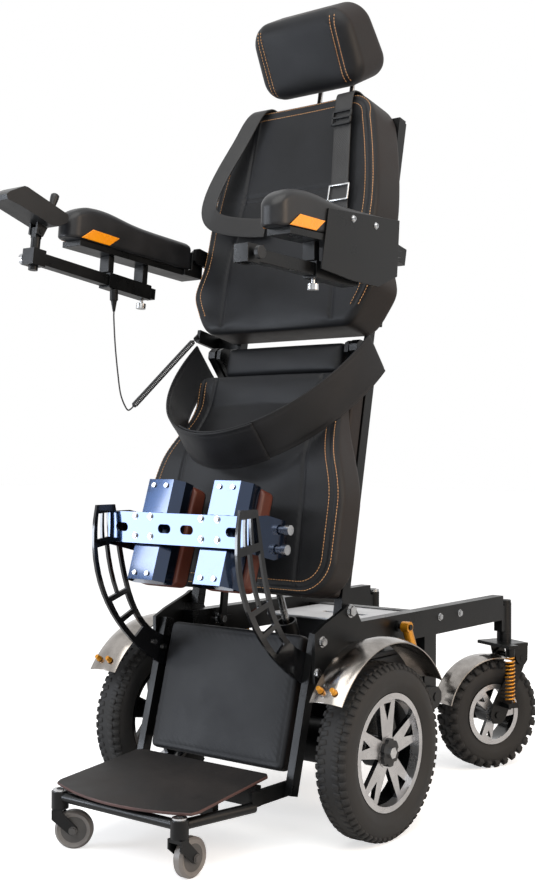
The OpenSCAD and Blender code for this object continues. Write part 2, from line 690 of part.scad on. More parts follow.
// Legrest
calf_front = -16;
calf_rear = 20;
module legrest_frame() {
    color(frame_black) place() leg_space() {
        both() {
            difference() {
                box(leg_in, leg_out, -12, 12, -leg_len - 14, 14);
                pin_x([0, 0], leg_in - 1, leg_out + 1, leg_pin_r);
            }
            pin_x([0, -leg_len], foot_in, leg_in + 2, leg_pin_r - run);
            box(leg_in - 14, leg_in - weld, 22, 34, -240, -60);
        }
        for (z = [-70, -230]) box(-leg_in + 14 + weld, leg_in - 14 - weld, calf_rear + weld, 34, z - 12,
            z + 12);
        both() box(leg_in - 14, leg_in + 10, 12 + weld, 22 - weld, -160, -120);
    }
}
module calf_pad() {
    color(leather) place() leg_space() pad(-262, 8, 14, 3, function(z) 178, function(z) calf_rear,
        function(z) calf_front + 4,
        function(z) 4, 0.02);
}
// Knee support arms: plates between two curves, with windows
knee_outer = [[-112, 313], [-255, 390], [-350, 510], [-310, 667]];
knee_inner = [[-88, 372], [-220, 400], [-225, 540], [-258, 667]];
knee_steps = 16;
function knee_point(t, s) = (1 - s) * bezier(knee_outer, t) + s * bezier(knee_inner, t);
function knee_strip(t0, t1, s0, s1, steps) = concat([for (k = [0 : steps]) knee_point(t0 + (t1 - t0) * k /
    steps, s0)],
    [for (k = [steps : -1 : 0]) knee_point(t0 + (t1 - t0) * k / steps, s1)]);
knee_windows = [[0.24, 0.36, 0.22, 0.78], [0.39, 0.5, 0.2, 0.8], [0.53, 0.8, 0.13, 0.46], [0.53, 0.8, 0.56,
    0.87],
    [0.84, 0.96, 0.14, 0.32], [0.84, 0.96, 0.41, 0.59], [0.84, 0.96, 0.68, 0.86]];
module knee_arms() {
    color(gloss_black) place() both() {
        difference() {
            slab(knee_in, knee_out, knee_strip(0, 1, 0, 1, knee_steps));
            for (w = knee_windows) slab(knee_in - 1, knee_out + 1, knee_strip(w[0], w[1], w[2], w[3], 4));
        }
        for (t = [0.03, 0.11]) translate([knee_in - 5, knee_point(t, 0.6)[0], knee_point(t, 0.6)[1]])
            rotate([0, 90, 0]) cylinder(r = 6, h = 5 - weld, $fn = 6);
    }
}
// Knee bar with its end flanges and knobs, sliding on the arms
knee_bar_y = -278;
knee_bar_t = 6;
knee_bar_z = [591, 654];
flange_out = knee_in - free;
flange_in = flange_out - 6;
flange_rear = -160;
cup_x = knee_track / 2;
bolt_z = [606, 646];
module knee_bar() {
    mid = (knee_bar_z[0] + knee_bar_z[1]) / 2;
    color(gloss_black) place() {
        difference() {
            box(-flange_in + weld, flange_in - weld, knee_bar_y, knee_bar_y + knee_bar_t, knee_bar_z[0],
                knee_bar_z[1]);
            for (x = [-cup_x - 59, -cup_x + 59, cup_x - 59, cup_x + 59]) {
                for (s = [-1, 1]) translate([x + s * 8, knee_bar_y - 1, mid]) rotate([-90, 0, 0])
                    cylinder(r = 9, h = knee_bar_t + 2);
                box(x - 8, x + 8, knee_bar_y - 1, knee_bar_y + knee_bar_t + 1, mid - 9, mid + 9);
            }
        }
        both() {
            slab(flange_in, flange_out, [[knee_bar_y, knee_bar_z[0] - 6], [knee_bar_y, knee_bar_z[1]],
                [-220, knee_bar_z[1]],
                [flange_rear, 640], [flange_rear, 572], [-200, 566]]);
            for (p = [[-172, 624], [-182, 586]]) {
                pin_x(p, flange_out + weld, flange_out + 8, 7);
                pin_x(p, flange_out + 8 + weld, flange_out + 20, 10);
            }
            for (x = [cup_x - 21, cup_x + 21], z = bolt_z) translate([x, knee_bar_y, z]) rotate([90, 0, 0])
                cylinder(r = 5, h = 4);
        }
    }
}
// Knee cups: a stiff shell in front and a pad behind, both tilted
cup_low = 519;
cup_high = 720;
cup_mid = [-254.5, 619.5];
cup_half = (cup_high - cup_low) / 2 / cos(knee_tilt);
module cup_space() { translate([cup_x, cup_mid[0], cup_mid[1]]) rotate([-knee_tilt, 0, 0]) children(); }
shell_depth = 42;
module knee_shells() {
    color(gloss_black) place() both() {
        cup_space() translate([0, 0, -cup_half]) linear_extrude(2 * cup_half)
            polygon([[-34, 0], [34, 0], [52, 18], [52, shell_depth], [-52, shell_depth], [-52, 18]]);
        for (x = [cup_x - 21, cup_x + 21], z = bolt_z) translate([x, knee_bar_y + knee_bar_t + weld, z])
            rotate([-90, 0, 0])
            cylinder(r = 7, h = 34);
        cup_space() for (x = [-17, 17], s = [-1, 1]) translate([x, -3 - weld, s * (cup_half - 13)])
            rotate([-90, 0, 0]) cylinder(r = 5, h = 3);
    }
}
module knee_pads() {
    color(leather) place() both() cup_space() pad(-cup_half + 2, cup_half - 2, 16, 3,
        function(z) 62, function(z) 96, function(z) shell_depth + 0.5, function(z) 0, 0.04);
}

// Footplate
foot_z = 101;
foot_tube_r = 10;
module footplate_frame() {
    front = [castor_x, -castor_reach, foot_z];
    color(frame_black) place() {
        difference() {
            union() {
                both() translate([castor_x, -castor_reach, castor_barrel_low])
                    cylinder(d = castor_barrel_d, h = castor_barrel_h);
                rod([-castor_x, -castor_reach, foot_z], front, foot_tube_r);
            }
            both() translate([castor_x, -castor_reach, castor_barrel_low - 1])
                cylinder(d = castor_stem_d + 2 * run, h = castor_barrel_h + 2);
        }
        both() {
            rear = [(foot_in + foot_out) / 2, -262, foot_z];
            toward = unit(rear - front);
            difference() {
                union() {
                    box(foot_in, foot_out, -271, foot_pivot[0] + 14, foot_pivot[1] - 16,
                        foot_pivot[1] + 13);
                    rod(front + toward * (castor_barrel_d / 2 - 4), rear, foot_tube_r);
                }
                pin_x(foot_pivot, foot_in - 1, foot_out + 1, leg_pin_r);
                translate([castor_x, -castor_reach, 0]) cylinder(d = castor_barrel_d + 2 * weld, h = 300);
            }
        }
        for (rib = [[-250, foot_in - weld], [-350, castor_x + 4]])
            box(-rib[1], rib[1], rib[0], rib[0] + 16, foot_z - 4, panel_under(rib[0]) - free);
    }
}
panel_at = [-298, 132];
function panel_under(y) = panel_at[1] + (y - panel_at[0]) * tan(foot_tilt);
panel_t = 6;
panel_front = -130;
panel_rear = 105;
panel_bulge = 34;
bulge_steps = 12;
module footplate_panel() {
    edge = [for (k = [-bulge_steps / 2 : bulge_steps / 2]) let (v = 2 * k / bulge_steps)
        [v * (foot_half_w - 6), panel_front + panel_bulge * (v * v - 1)]];
    color(rubber) place() translate([0, panel_at[0], panel_at[1]]) rotate([foot_tilt, 0, 0])
        linear_extrude(panel_t)
        polygon(concat(edge, [[foot_half_w, panel_front + 14], [foot_half_w - 6, panel_rear - 10],
            [foot_half_w - 16, panel_rear], [-foot_half_w + 16, panel_rear], [-foot_half_w + 6,
                panel_rear - 10],
            [-foot_half_w, panel_front + 14]]));
}

// Lift actuator: its tube swings on the base and its rod on the seat
lift_tube_r = 23;
lift_bore_r = 19.5;
lift_tube_len = 240;
lift_rod_len = 152;
module lift_tube() {
    color(frame_black) place() lift_space() difference() {
        union() {
            translate([0, 0, 10]) cylinder(r = lift_tube_r, h = lift_tube_len - 10);
            pin_x([0, 0], -lug_in + free, lug_in - free, 14);
            box(-20, 20, 8, 58, 26, 62);
            translate([0, 42, 62]) cylinder(r = 20, h = 96);
        }
        pin_x([0, 0], -40, 40, lift_pin_r);
        translate([0, 0, 34]) cylinder(r = lift_bore_r, h = lift_tube_len);
    }
}
module lift_rod() {
    color(steel) place() lift_space() difference() {
        union() {
            translate([0, 0, lift_len - lift_rod_len]) cylinder(r = 8, h = lift_rod_len - 8);
            translate([0, 0, lift_len]) pin_x([0, 0], -11, 11, 13);
        }
        translate([0, 0, lift_len]) pin_x([0, 0], -20, 20, lift_pin_r);
    }
}
module parallel_links() {
    reach = link_top - link_pivot;
    turn = atan2(-reach[0], reach[1]);
    color(frame_black) place() both() translate([0, link_pivot[0], link_pivot[1]]) rotate([turn, 0, 0])
        difference() {
        union() {
            box(link_in, link_out, -9, 9, 0, norm(reach));
            for (z = [0, norm(reach)]) pin_x([0, z], link_in, link_out, 13);
        }
        for (z = [0, norm(reach)]) pin_x([0, z], link_in - 1, link_out + 1, link_pin_r);
    }
}

// Seat
seat_tube_h = 24;
cross_z = [95, 230];
cushion_rear = -15;
seat_front = -146;
seat_base = cushion_rear - 47;
seat_end = seat_len - 60;
board_end = seat_end - 8;
filler_end = seat_len + 16;
module seat_frame() {
    hip = turned(hip_pivot, seat_pivot, seat_lean);
    half = seat_tube_h / 2;
    color(frame_black) place() seat_space() {
        both() {
            difference() {
                union() {
                    box(seat_in, seat_out, -half, half, -15, seat_len - 30);
                    slab(seat_in, seat_out, [[-half, seat_len - 52], [half, seat_len - 52], [half,
                        seat_len - 14],
                        hip + [10, 18], hip + [-8, 17], hip + [-17, 6], hip + [-16, -8]]);
                    pin_x(hip, back_in - 1, seat_in + 1, hip_pin_r - run);
                }
                pin_x([0, 0], seat_in - 1, seat_out + 1, seat_pin_r);
            }
            slab(13, 19, [[-half, cross_z[0] - half - weld], [half, cross_z[0] - half - weld], crank + [14,
                10],
                crank + [14, -12], crank + [-10, -14], crank + [-24, 0]]);
            pin_x(crank, weld / 2, 14, lift_pin_r - run);
        }
        for (z = cross_z) box(-seat_in + weld, seat_in - weld, -half, half, z - half, z + half);
        box(-seat_in + weld, seat_in - weld, -half, -7, 420, 476);
        box(-seat_out, seat_out, cushion_rear + free, -half - weld, 20, board_end);
        box(-link_in + 2, link_in - 2, cushion_rear + free, -half - weld, board_end + weld, filler_end - 6);
    }
}
module seat_cushion() {
    color(leather) place() seat_space() {
        pad(15, seat_end, 26, 6, function(z) seat_half_w - 62 * ease((z - 200) / 230),
            function(z) seat_base, function(z) seat_front + 50 * ease((z - 280) / 150), function(z) 9, 0.03);
        pad(20, seat_end - 6, 5, 1, function(z) seat_out, function(z) cushion_rear, function(z) seat_base + weld,
            function(z) 0, 0.01);
        pad(seat_end + 8, filler_end, 12, 1, function(z) link_in + 2, function(z) cushion_rear, function(z) -58,
            function(z) 3, 0.02);
    }
}
// Lap belt: a loop from hip to hip that hangs in front of the seat
belt_x = 238;
belt_drop = [-200, -250];
belt_hip = [-37, seat_len - 8];
belt_steps = 24;
function belt_point(t) = [belt_x * cos(t), belt_hip[0] + belt_drop[0] * sin(t), belt_hip[1] + belt_drop[1]
    * sin(t)];
module lap_belt() {
    path = [for (k = [0 : belt_steps]) belt_point(180 * k / belt_steps)];
    out = [for (k = [0 : belt_steps]) let (t = 180 * k / belt_steps) unit([cos(t), -0.75 * sin(t),
        -0.2 * sin(t)])];
    along = [for (k = [0 : belt_steps]) tangent(path, k)];
    wide = [for (k = [0 : belt_steps]) unit(cross(out[k], along[k]))];
    color(leather) place() seat_space() {
        band(path, wide, [for (k = [0 : belt_steps]) unit(cross(along[k], wide[k]))], belt_w, belt_t);
        both() box(seat_out + weld, belt_x - free, belt_hip[0] - 16, belt_hip[0] + 16, belt_hip[1] - 30,
            belt_hip[1] + 4);
    }
}

// Back
back_low = 40;
back_front = -104;
back_tube = [3, 27];
post_x = 45;
post_r = 6;
function back_point(p) = turned(p, hip_line, back_lean);
function back_width(z) = back_half_w - 6 + 10 * ease((z - 60) / 80) + 20 * exp(-pow((z - 130) / 48, 2))
    - 56 * pow(max(0, (z - 300) / 270), 1.6);
hinge_out = arm_track / 2 - arm_pad_w / 2 - 3;
hinge_in = hinge_out - 9;
socket_low = 32;
socket_x = 243;
module back_frame() {
    hip = back_point(hip_pivot);
    low = back_point(link_top);
    arm = back_point(arm_hinge);
    color(frame_black) place() back_space() {
        both() {
            difference() {
                slab(back_in, back_out, [hip + [-14, 10], hip + [-4, 17], [0, 24], [back_tube[0],
                    back_low], [back_tube[0], 116],
                    [back_tube[1], 116], [back_tube[1], 20], low + [18, -2], low + [8, -16], low + [-10,
                        -14], hip + [2, -18],
                    hip + [-14, -10]]);
                pin_x(hip, back_in - 1, back_out + 1, hip_pin_r);
            }
            pin_x(low, link_in - 1, back_in + 1, link_pin_r - free);
            box(back_in, back_in + 24, back_tube[0], back_tube[1], 116 + weld, 545);
            box(back_in + 24 + weld, hinge_out, back_tube[0] + 2, back_tube[1] - 2, arm[1] - 18,
                arm[1] + 18);
            slab(hinge_in, hinge_out, [arm + [-18, -14], arm + [-18, 14], arm + [-8, 18], [back_tube[0] + 2
                - weld, arm[1] + 18],
                [back_tube[0] + 2 - weld, arm[1] - 18], arm + [-8, -18]]);
            pin_x(arm, hinge_out - 1, hinge_out + 14, arm_pin_r - run);
        }
        box(-back_in + weld, back_in - weld, back_tube[0], back_tube[1], 138, 162);
        difference() {
            union() {
                box(-back_in + weld, back_in - weld, back_tube[0], back_tube[1], 488, 512);
                both() translate([post_x, 15, 500]) cylinder(r = 11, h = 52);
            }
            both() translate([post_x, 15, 480]) cylinder(r = post_r + run, h = 80);
        }
        box(-back_in - 24, back_in + 24, back_tube[1] + weld, back_tube[1] + 4, 70, 540);
        box(-socket_x - 9, -back_out - weld, back_tube[0] + 2, back_tube[1] - 2, socket_low, socket_low + 30);
    }
    color(frame_black) place() {
        back_space() box(-socket_x - 9, -socket_x, -64, back_tube[0] + 2 - weld, socket_low, socket_low + 30);
        rod(cord_end + 3 * weld * end_heading, cord_end + 26 * end_heading, 8);
    }
}
module back_cushion() {
    color(leather) place() back_space() pad(back_low, back_low + back_h, 30, 5, function(z) back_width(z),
        function(z) back_tube[0] - free, function(z) back_front, function(z) -6, 0.03);
}
post_low = 420;
post_high = 706;
module headrest_posts() {
    color(steel) place() back_space() both() translate([post_x, 15, post_low]) cylinder(r = post_r,
        h = post_high - post_low);
}
head_at = hip_line + [89.2, 727];
rest_h = 176;
head_nod = 26;
module headrest_pad() {
    color(leather) place() difference() {
        translate([0, head_at[0], head_at[1]]) rotate([head_nod, 0, 0]) pad(-rest_h / 2, rest_h / 2, 30, 3,
            function(z) head_half_w - 6 * pow(z / rest_h + 0.5, 2), function(z) 44 - 0.2 * z,
                function(z) -86, function(z) 6, 0.05);
        back_space() both() translate([post_x, 15, post_low]) cylinder(r = post_r + free,
            h = post_high - post_low + 1);
    }
}
// Chest straps: flat webbing on the front of the back cushion, from the shoulders to the waist
strap_route = [[118, 1, 546], [118, -8, 574], [118, -50, 574], [119, -88, 574], [122, -108.5, 550],
    [132, -109, 430], [146, -109, 300], [164, -109, 190]];
strap_w = 44;
strap_t = 3;
module chest_straps() {
    path = spline(strap_route, 3);
    along = [for (k = [0 : len(path) - 1]) tangent(path, k)];
    out = [for (k = [0 : len(path) - 1]) let (a = along[k]) unit([0, a[2], -a[1]])];
    wide = [for (k = [0 : len(path) - 1]) unit(cross(along[k], out[k]))];
    color(rubber) place() back_space() both() band(path, wide, out, strap_w, strap_t);
}

// Armrests, in the axes of the left one: the right one is mirrored and tilted about its hinge
arm_x = arm_track / 2;
pad_in = arm_x - arm_pad_w / 2;
pad_out = arm_x + arm_pad_w / 2;
arm_nose = -330;
pad_low = 1190;
tray_low = pad_low - 13;
module arm_space(side) {
    sided(side) translate([0, arm_hinge[0], arm_hinge[1]]) rotate([side < 0 ? -arm_tilt : 0, 0, 0])
        translate([0, -arm_hinge[0], -arm_hinge[1]]) children();
}
bar_mid = [-220, 1125];
bar_slope = 2;
module bar_space() { translate([arm_x, bar_mid[0], bar_mid[1]]) rotate([-bar_slope, 0, 0]) children(); }
sleeve_wall = 4;
sleeve_half = bar_side / 2 + free + sleeve_wall;
module armrest(side) {
    color(frame_black) place() arm_space(side) {
        difference() {
            slab(hinge_out + free, hinge_out + 8, [[18, tray_low], [78, tray_low], arm_hinge + [18, 8],
                arm_hinge + [8, 18],
                arm_hinge + [-8, 18], arm_hinge + [-19, 8], [41, pad_low + 2], [18, pad_low - weld]]);
            pin_x(arm_hinge, hinge_out - 1, hinge_out + 9, arm_pin_r);
        }
        box(hinge_out + 8 + weld, pad_out + free - weld, -300, 78, tray_low, pad_low - weld);
        bar_space() difference() {
            box(-sleeve_half, sleeve_half, 20, 150, -sleeve_half, sleeve_half);
            box(-bar_side / 2 - free, bar_side / 2 + free, 19, 151, -bar_side / 2 - free,
                bar_side / 2 + free);
        }
        bar_space() translate([0, side > 0 ? 32 : 138, -sleeve_half - 22]) {
            cylinder(r = 11, h = 12);
            translate([0, 0, 12 + weld]) cylinder(r = 4, h = 10 - 2 * weld);
        }
        for (y = [-196, -90]) box(arm_x - 14, arm_x + 14, y - 8, y + 8, bar_mid[1] - (y - bar_mid[0]) *
            tan(bar_slope)
            + sleeve_half / cos(bar_slope) + 0.4, tray_low - weld);
        if (side > 0) slab(pad_out + free, pad_out + 4, [[-184, 1240], [64, 1251], [55, 1135], [-13, 1108],
            [-101, 1110], [-208, 1122]]);
    }
}
module armrest_left() { armrest(1); }
module armrest_right() {
    armrest(-1);
    color(rubber) place() translate(cord_exit + [0, 0, weld]) {
        cylinder(r1 = lead_d / 2 + 1, r2 = 7, h = 24);
        translate([0, 0, 24]) cylinder(r = 9, h = 23.5);
    }
}
// The pad is a bent roll along the arm: its rings run from the nose to the hinge
module armrest_pad(side) {
    length = 370;
    color(leather) place() arm_space(side) translate([arm_x, arm_nose, pad_low]) rotate([-90, 0, 0])
        pad(0, length, 20, 3, function(z) arm_pad_w / 2, function(z) -free,
            function(z) -62 - 12 * exp(-pow((z - 92) / 80, 2)),
            function(z) 4, 0.01);
}
module armrest_pad_left() { armrest_pad(1); }
module armrest_pad_right() { armrest_pad(-1); }
lamp = [[-272, 1216], [-193, 1214], [-222, 1192], [-304, 1192]];
module armrest_lamps(side) {
    color(amber) place() arm_space(side) {
        slab(pad_out + free, pad_out + 3, lamp);
        slab(pad_in - 3, pad_in - free, lamp);
    }
}
module armrest_lamps_left() { armrest_lamps(1); }
module armrest_lamps_right() { armrest_lamps(-1); }

// Accessory bars: the left one ends in an empty clamp, the right one carries the controller
accessory_front = -152;
controller_front = -164;
bar_rear = 168;
clamp_half = 17;
clamp_bore_d = 20;
module slide_bar(side, bar_front) {
    clamp_y = bar_front - clamp_half;
    place() arm_space(side) bar_space() {
        box(-bar_side / 2, bar_side / 2, bar_front, bar_rear, -bar_side / 2, bar_side / 2);
        difference() {
            box(-clamp_half, clamp_half, clamp_y - clamp_half, bar_front - weld, -clamp_half, clamp_half);
            translate([0, clamp_y, -clamp_half - 1]) cylinder(d = clamp_bore_d, h = 2 * clamp_half + 2);
        }
        translate([clamp_half + weld, clamp_y, 0]) rotate([0, 90, 0]) {
            cylinder(r = 5, h = 8);
            translate([0, 0, 8 + weld]) cylinder(r = 12, h = 10);
        }
    }
}
module accessory_bar() { color(frame_black) slide_bar(1, accessory_front); }
// The tilt bolt of the controller stands on a post in the right clamp
tilt_up = 54;
ear_in = 8;
ear_t = 5;
function tipped(p, a) = [p[0] * cos(a) + p[1] * sin(a), p[1] * cos(a) - p[0] * sin(a)];
post_y = controller_front - clamp_half;
tilt_bolt = arm_hinge + tipped(bar_mid + tipped([post_y, tilt_up], bar_slope) - arm_hinge, arm_tilt);
module controller_bar() {
    color(frame_black) {
        slide_bar(-1, controller_front);
        place() arm_space(-1) bar_space() translate([0, post_y, 0]) {
            translate([0, 0, -26]) cylinder(d = clamp_bore_d - 2 * weld, h = tilt_up + 26 - 12.5);
            box(-ear_in + free, ear_in - free, -8, 8, tilt_up - 14, tilt_up + 8);
            pin_x([0, tilt_up], -ear_in - ear_t - 2, ear_in + ear_t + 2, 5 - run);
        }
    }
}

// Controller housing, buttons and joystick, in axes tilted about the tilt bolt
bolt_in_housing = [21, -36];
module controller_space() {
    translate([-arm_x, tilt_bolt[0], tilt_bolt[1]]) rotate([-controller_tilt, 0, 0])
        translate([0, -bolt_in_housing[0], -bolt_in_housing[1]]) children();
}
housing_top = 22;
stick_y = 40;
well_r = 17;
ball_r = 12;
ball_z = 8;
button_x = 14;
button_y = -20;
button_r = 6;
button_seat = 16;
button_travel = 1.5;
module controller_housing() {
    half = controller_w / 2;
    color(gloss_black) place() controller_space() {
        difference() {
            slab(-half, half, [[64, 18], [66, 6], [48, -12], [30, -20], [-60, -22], [-92, -26], [-98, -18],
                [-92, -8],
                [-62, 20], [-54, housing_top], [60, housing_top]]);
            translate([0, stick_y, ball_z - ball_r - 2]) cylinder(r = well_r, h = 60);
            for (s = [-1, 1]) translate([s * button_x, button_y, button_seat])
                cylinder(r = button_r + free, h = 20);
        }
        both() difference() {
            slab(ear_in, ear_in + ear_t, [bolt_in_housing + [-14, 15], bolt_in_housing + [14, 15],
                bolt_in_housing + [9, -8],
                bolt_in_housing + [-9, -8]]);
            pin_x(bolt_in_housing, 0, 40, 5);
        }
    }
}
module button(x) {
    color(steel) place() controller_space() translate([x, button_y, button_seat + button_travel + free])
        cylinder(r = button_r, h = housing_top - button_seat + 1);
}
module power_button() { button(-button_x); }
module horn_button() { button(button_x); }
module joystick_ball() {
    color(steel) place() controller_space() translate([0, stick_y, ball_z]) {
        sphere(r = ball_r);
        rotate([0, 90, 0]) cylinder(r = 3, h = 2 * well_r - 1, center = true);
    }
}
module joystick() {
    color(rubber) place() controller_space() translate([0, stick_y, ball_z]) {
        translate([0, 0, ball_r + free]) cylinder(r = 4, h = 38);
        translate([0, 0, 20]) cylinder(r1 = 12, r2 = 5, h = 18);
        translate([0, 0, 48]) cylinder(r1 = 8, r2 = 11, h = 16);
    }
}

// Controller cord: a thin lead from the plug under the right armrest, then a curly stretch to the back
lead_route = concat([cord_exit, cord_exit - [0, 0, 16], [-262, -186, 1010], [-262, -178, 950], [-262, -168,
    900]],
    [curl_start - 24 * curl_heading + [0, 0, 8], curl_start - 8 * curl_heading, curl_start]);
module cord_lead() { color(rubber) place() tube(spline(lead_route, 4), lead_d / 2, 8); }
module cord_curl() { color(rubber) place() tube(curl_path, lead_d / 2, wire_sides); }
echo(spring_gap = self_gap(spring_path, spring_wire, curl_rings));
echo(curl_gap = self_gap(curl_path, lead_d, curl_rings));

base_frame();
deck_plate();
power_pack();
shock_bodies();
lift_tube();
lift_rod();
parallel_links();
drive_arm_left();
drive_arm_right();
fender_left();
fender_right();
drive_tyre_left();
drive_tyre_right();
drive_rim_left();
drive_rim_right();
caster_crown_left();
caster_crown_right();
caster_fork_left();
caster_fork_right();
caster_spring_left();
caster_spring_right();
caster_tyre_left();
caster_tyre_right();
caster_rim_left();
caster_rim_right();
front_fork_left();
front_fork_right();
front_wheel_left();
front_wheel_right();
legrest_frame();
calf_pad();
knee_arms();
knee_bar();
knee_shells();
knee_pads();
footplate_frame();
footplate_panel();
seat_frame();
seat_cushion();
lap_belt();
back_frame();
back_cushion();
headrest_posts();
headrest_pad();
chest_straps();
armrest_left();
armrest_right();
armrest_pad_left();
armrest_pad_right();
armrest_lamps_left();
armrest_lamps_right();
accessory_bar();
controller_bar();
controller_housing();
power_button();
horn_button();
joystick_ball();
joystick();
cord_lead();
cord_curl();
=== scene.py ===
"""Looks of a powered standing wheelchair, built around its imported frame.

Places in the classes are millimetres from the drive axle on the floor: x to the user's left, y to the rear
and z up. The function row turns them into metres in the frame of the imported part.
"""

from __future__ import annotations

import json
import logging
import math
from dataclasses import dataclass, field
from enum import Enum
from typing import Callable, Iterable, Sequence

import bpy
import numpy as np
from mathutils import Matrix, Vector
from mathutils.bvhtree import BVHTree


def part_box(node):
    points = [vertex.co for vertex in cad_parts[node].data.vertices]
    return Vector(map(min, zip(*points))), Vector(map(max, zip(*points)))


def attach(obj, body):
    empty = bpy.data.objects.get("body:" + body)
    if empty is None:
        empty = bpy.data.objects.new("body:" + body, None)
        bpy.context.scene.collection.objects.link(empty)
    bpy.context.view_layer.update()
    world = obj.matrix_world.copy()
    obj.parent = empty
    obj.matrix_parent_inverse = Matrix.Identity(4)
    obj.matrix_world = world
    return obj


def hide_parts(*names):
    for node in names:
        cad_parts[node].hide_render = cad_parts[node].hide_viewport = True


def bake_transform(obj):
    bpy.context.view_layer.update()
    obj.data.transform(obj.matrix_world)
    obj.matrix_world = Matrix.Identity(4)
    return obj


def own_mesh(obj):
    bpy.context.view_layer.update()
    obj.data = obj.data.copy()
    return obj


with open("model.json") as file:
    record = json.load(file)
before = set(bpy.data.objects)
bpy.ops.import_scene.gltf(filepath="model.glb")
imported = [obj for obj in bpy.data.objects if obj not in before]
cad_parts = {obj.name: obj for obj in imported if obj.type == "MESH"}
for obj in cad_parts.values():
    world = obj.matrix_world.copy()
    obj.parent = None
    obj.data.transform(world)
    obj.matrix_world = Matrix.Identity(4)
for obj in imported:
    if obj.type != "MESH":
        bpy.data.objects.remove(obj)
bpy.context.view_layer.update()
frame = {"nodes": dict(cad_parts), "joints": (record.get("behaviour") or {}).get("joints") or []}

LOG = logging.getLogger("wheelchair")
MM = 0.001
MERGE = 1e-6
NODES: dict[str, bpy.types.Object] = frame["nodes"]
PIVOTS: dict[str, Vector] = {j["name"]: Vector(j["pos_m"]) for j in frame["joints"] if "pos_m" in j}
AXLE = Vector((0.0, PIVOTS["drive_spin_left"].y, 0.0))
X_AXIS = Vector((1, 0, 0))

Array = np.ndarray
Obj = bpy.types.Object
Socket = bpy.types.NodeSocket
Tree = bpy.types.NodeTree
Point = Sequence[float]
Profile = Callable[[float], float]


def row(x: float, y: float, z: float) -> Vector:
    """Turn millimetres from the drive axle into metres in the part's frame."""
    return AXLE + MM * Vector((x, y, z))


class Slot(str, Enum):
    """Material slots of the part's record."""

    FRAME = "frame"
    GLOSS = "gloss_black"
    LEATHER = "leather"
    TYRE = "tyre"
    ALLOY = "alloy"
    CHROME = "chrome"
    STEEL = "steel"
    GOLD = "gold"
    AMBER = "amber"
    CASTOR = "castor_tyre"
    WEBBING = "webbing"
    MAT = "mat"
    CORD = "cord"
    HOUSING = "housing"


class Side(Enum):
    """Sides of the chair, with the sign of their x."""

    LEFT = 1
    RIGHT = -1

    @property
    def word(self) -> str:
        """Give the word that ends the side's node names."""
        return self.name.lower()


@dataclass(frozen=True)
class Axes:
    """A set of axes in the frame, with lengths in millimetres."""

    origin: Vector
    right: Vector
    back: Vector
    up: Vector

    def point(self, x: float, y: float, z: float) -> Vector:
        """Give the place of local coordinates in the part's frame, in metres."""
        return self.origin + MM * (float(x) * self.right + float(y) * self.back + float(z) * self.up)

    def points(self, local: Array) -> Array:
        """Give the places of rows of local coordinates."""
        basis = np.array([self.right, self.back, self.up], float)
        return np.array(self.origin, float) + MM * local @ basis

    def local(self, places: Array) -> Array:
        """Give the local coordinates of rows of places."""
        basis = np.array([self.right, self.back, self.up], float)
        return (places - np.array(self.origin, float)) @ basis.T / MM


def leaning(origin: Vector, lean: float) -> Axes:
    """Make axes whose up axis leans to the rear by an angle in degrees."""
    sin, cos = math.sin(math.radians(lean)), math.cos(math.radians(lean))
    return Axes(origin, X_AXIS, Vector((0, cos, -sin)), Vector((0, sin, cos)))


SEAT_LEAN = 11.5
BACK_LEAN = 12.0
LEG_LEAN = 15.0
SEAT_LENGTH = 546.0
SEAT = leaning(Vector((0, PIVOTS["seat_lift"].y, PIVOTS["seat_lift"].z)), SEAT_LEAN)
BACK = leaning(SEAT.point(0, 0, SEAT_LENGTH), BACK_LEAN)
LEG = leaning(Vector((0, PIVOTS["legrest_raise"].y, PIVOTS["legrest_raise"].z)), LEG_LEAN)


# Operators


def activate(obj: Obj) -> None:
    """Select one object alone and make it the active one."""
    bpy.ops.object.select_all(action="DESELECT")
    obj.select_set(True)
    bpy.context.view_layer.objects.active = obj


def select_all() -> None:
    """Select the whole mesh in edit mode."""
    bpy.ops.mesh.select_all(action="SELECT")


def merge() -> None:
    """Merge doubled points in edit mode."""
    bpy.ops.mesh.remove_doubles(threshold=MERGE)


def face_out() -> None:
    """Turn the faces outwards in edit mode."""
    bpy.ops.mesh.normals_make_consistent(inside=False)


def in_edit_mode(obj: Obj, *steps: Callable[[], object]) -> None:
    """Run steps on the whole of a mesh in edit mode.

    Args:
        obj: The object with the mesh.
        steps: What is run, in order.
    """
    activate(obj)
    bpy.ops.object.mode_set(mode="EDIT")
    for step in (select_all, *steps):
        step()
    bpy.ops.object.mode_set(mode="OBJECT")


def close_seams(obj: Obj) -> None:
    """Merge doubled points and turn all faces outwards."""
    in_edit_mode(obj, merge, face_out)


def shade(obj: Obj, angle: float = 40.0) -> None:
    """Smooth the shading over edges flatter than an angle in degrees."""
    activate(obj)
    bpy.ops.object.shade_smooth_by_angle(angle=math.radians(angle))


def finish_with(obj: Obj, kind: str, **settings: object) -> None:
    """Add one modifier to an object and apply it.

    Args:
        obj: The object.
        kind: The modifier's type.
        settings: Its settings by name.
    """
    activate(obj)
    modifier = obj.modifiers.new(kind.title(), kind)
    for name, value in settings.items():
        setattr(modifier, name, value)
    bpy.ops.object.modifier_apply(modifier=modifier.name)


def soften(obj: Obj, levels: int = 1) -> None:
    """Subdivide a mesh into a smooth surface."""
    finish_with(obj, "SUBSURF", levels=levels, render_levels=levels)


def round_edges(obj: Obj, width: float, segments: int = 2, angle: float = 35.0) -> None:
    """Bevel the edges of a mesh that are sharper than an angle in degrees, by a width in millimetres."""
    finish_with(
        obj, "BEVEL", width=width * MM, segments=segments, limit_method="ANGLE", angle_limit=math.radians(angle),
        use_clamp_overlap=True, miter_outer="MITER_ARC",
    )


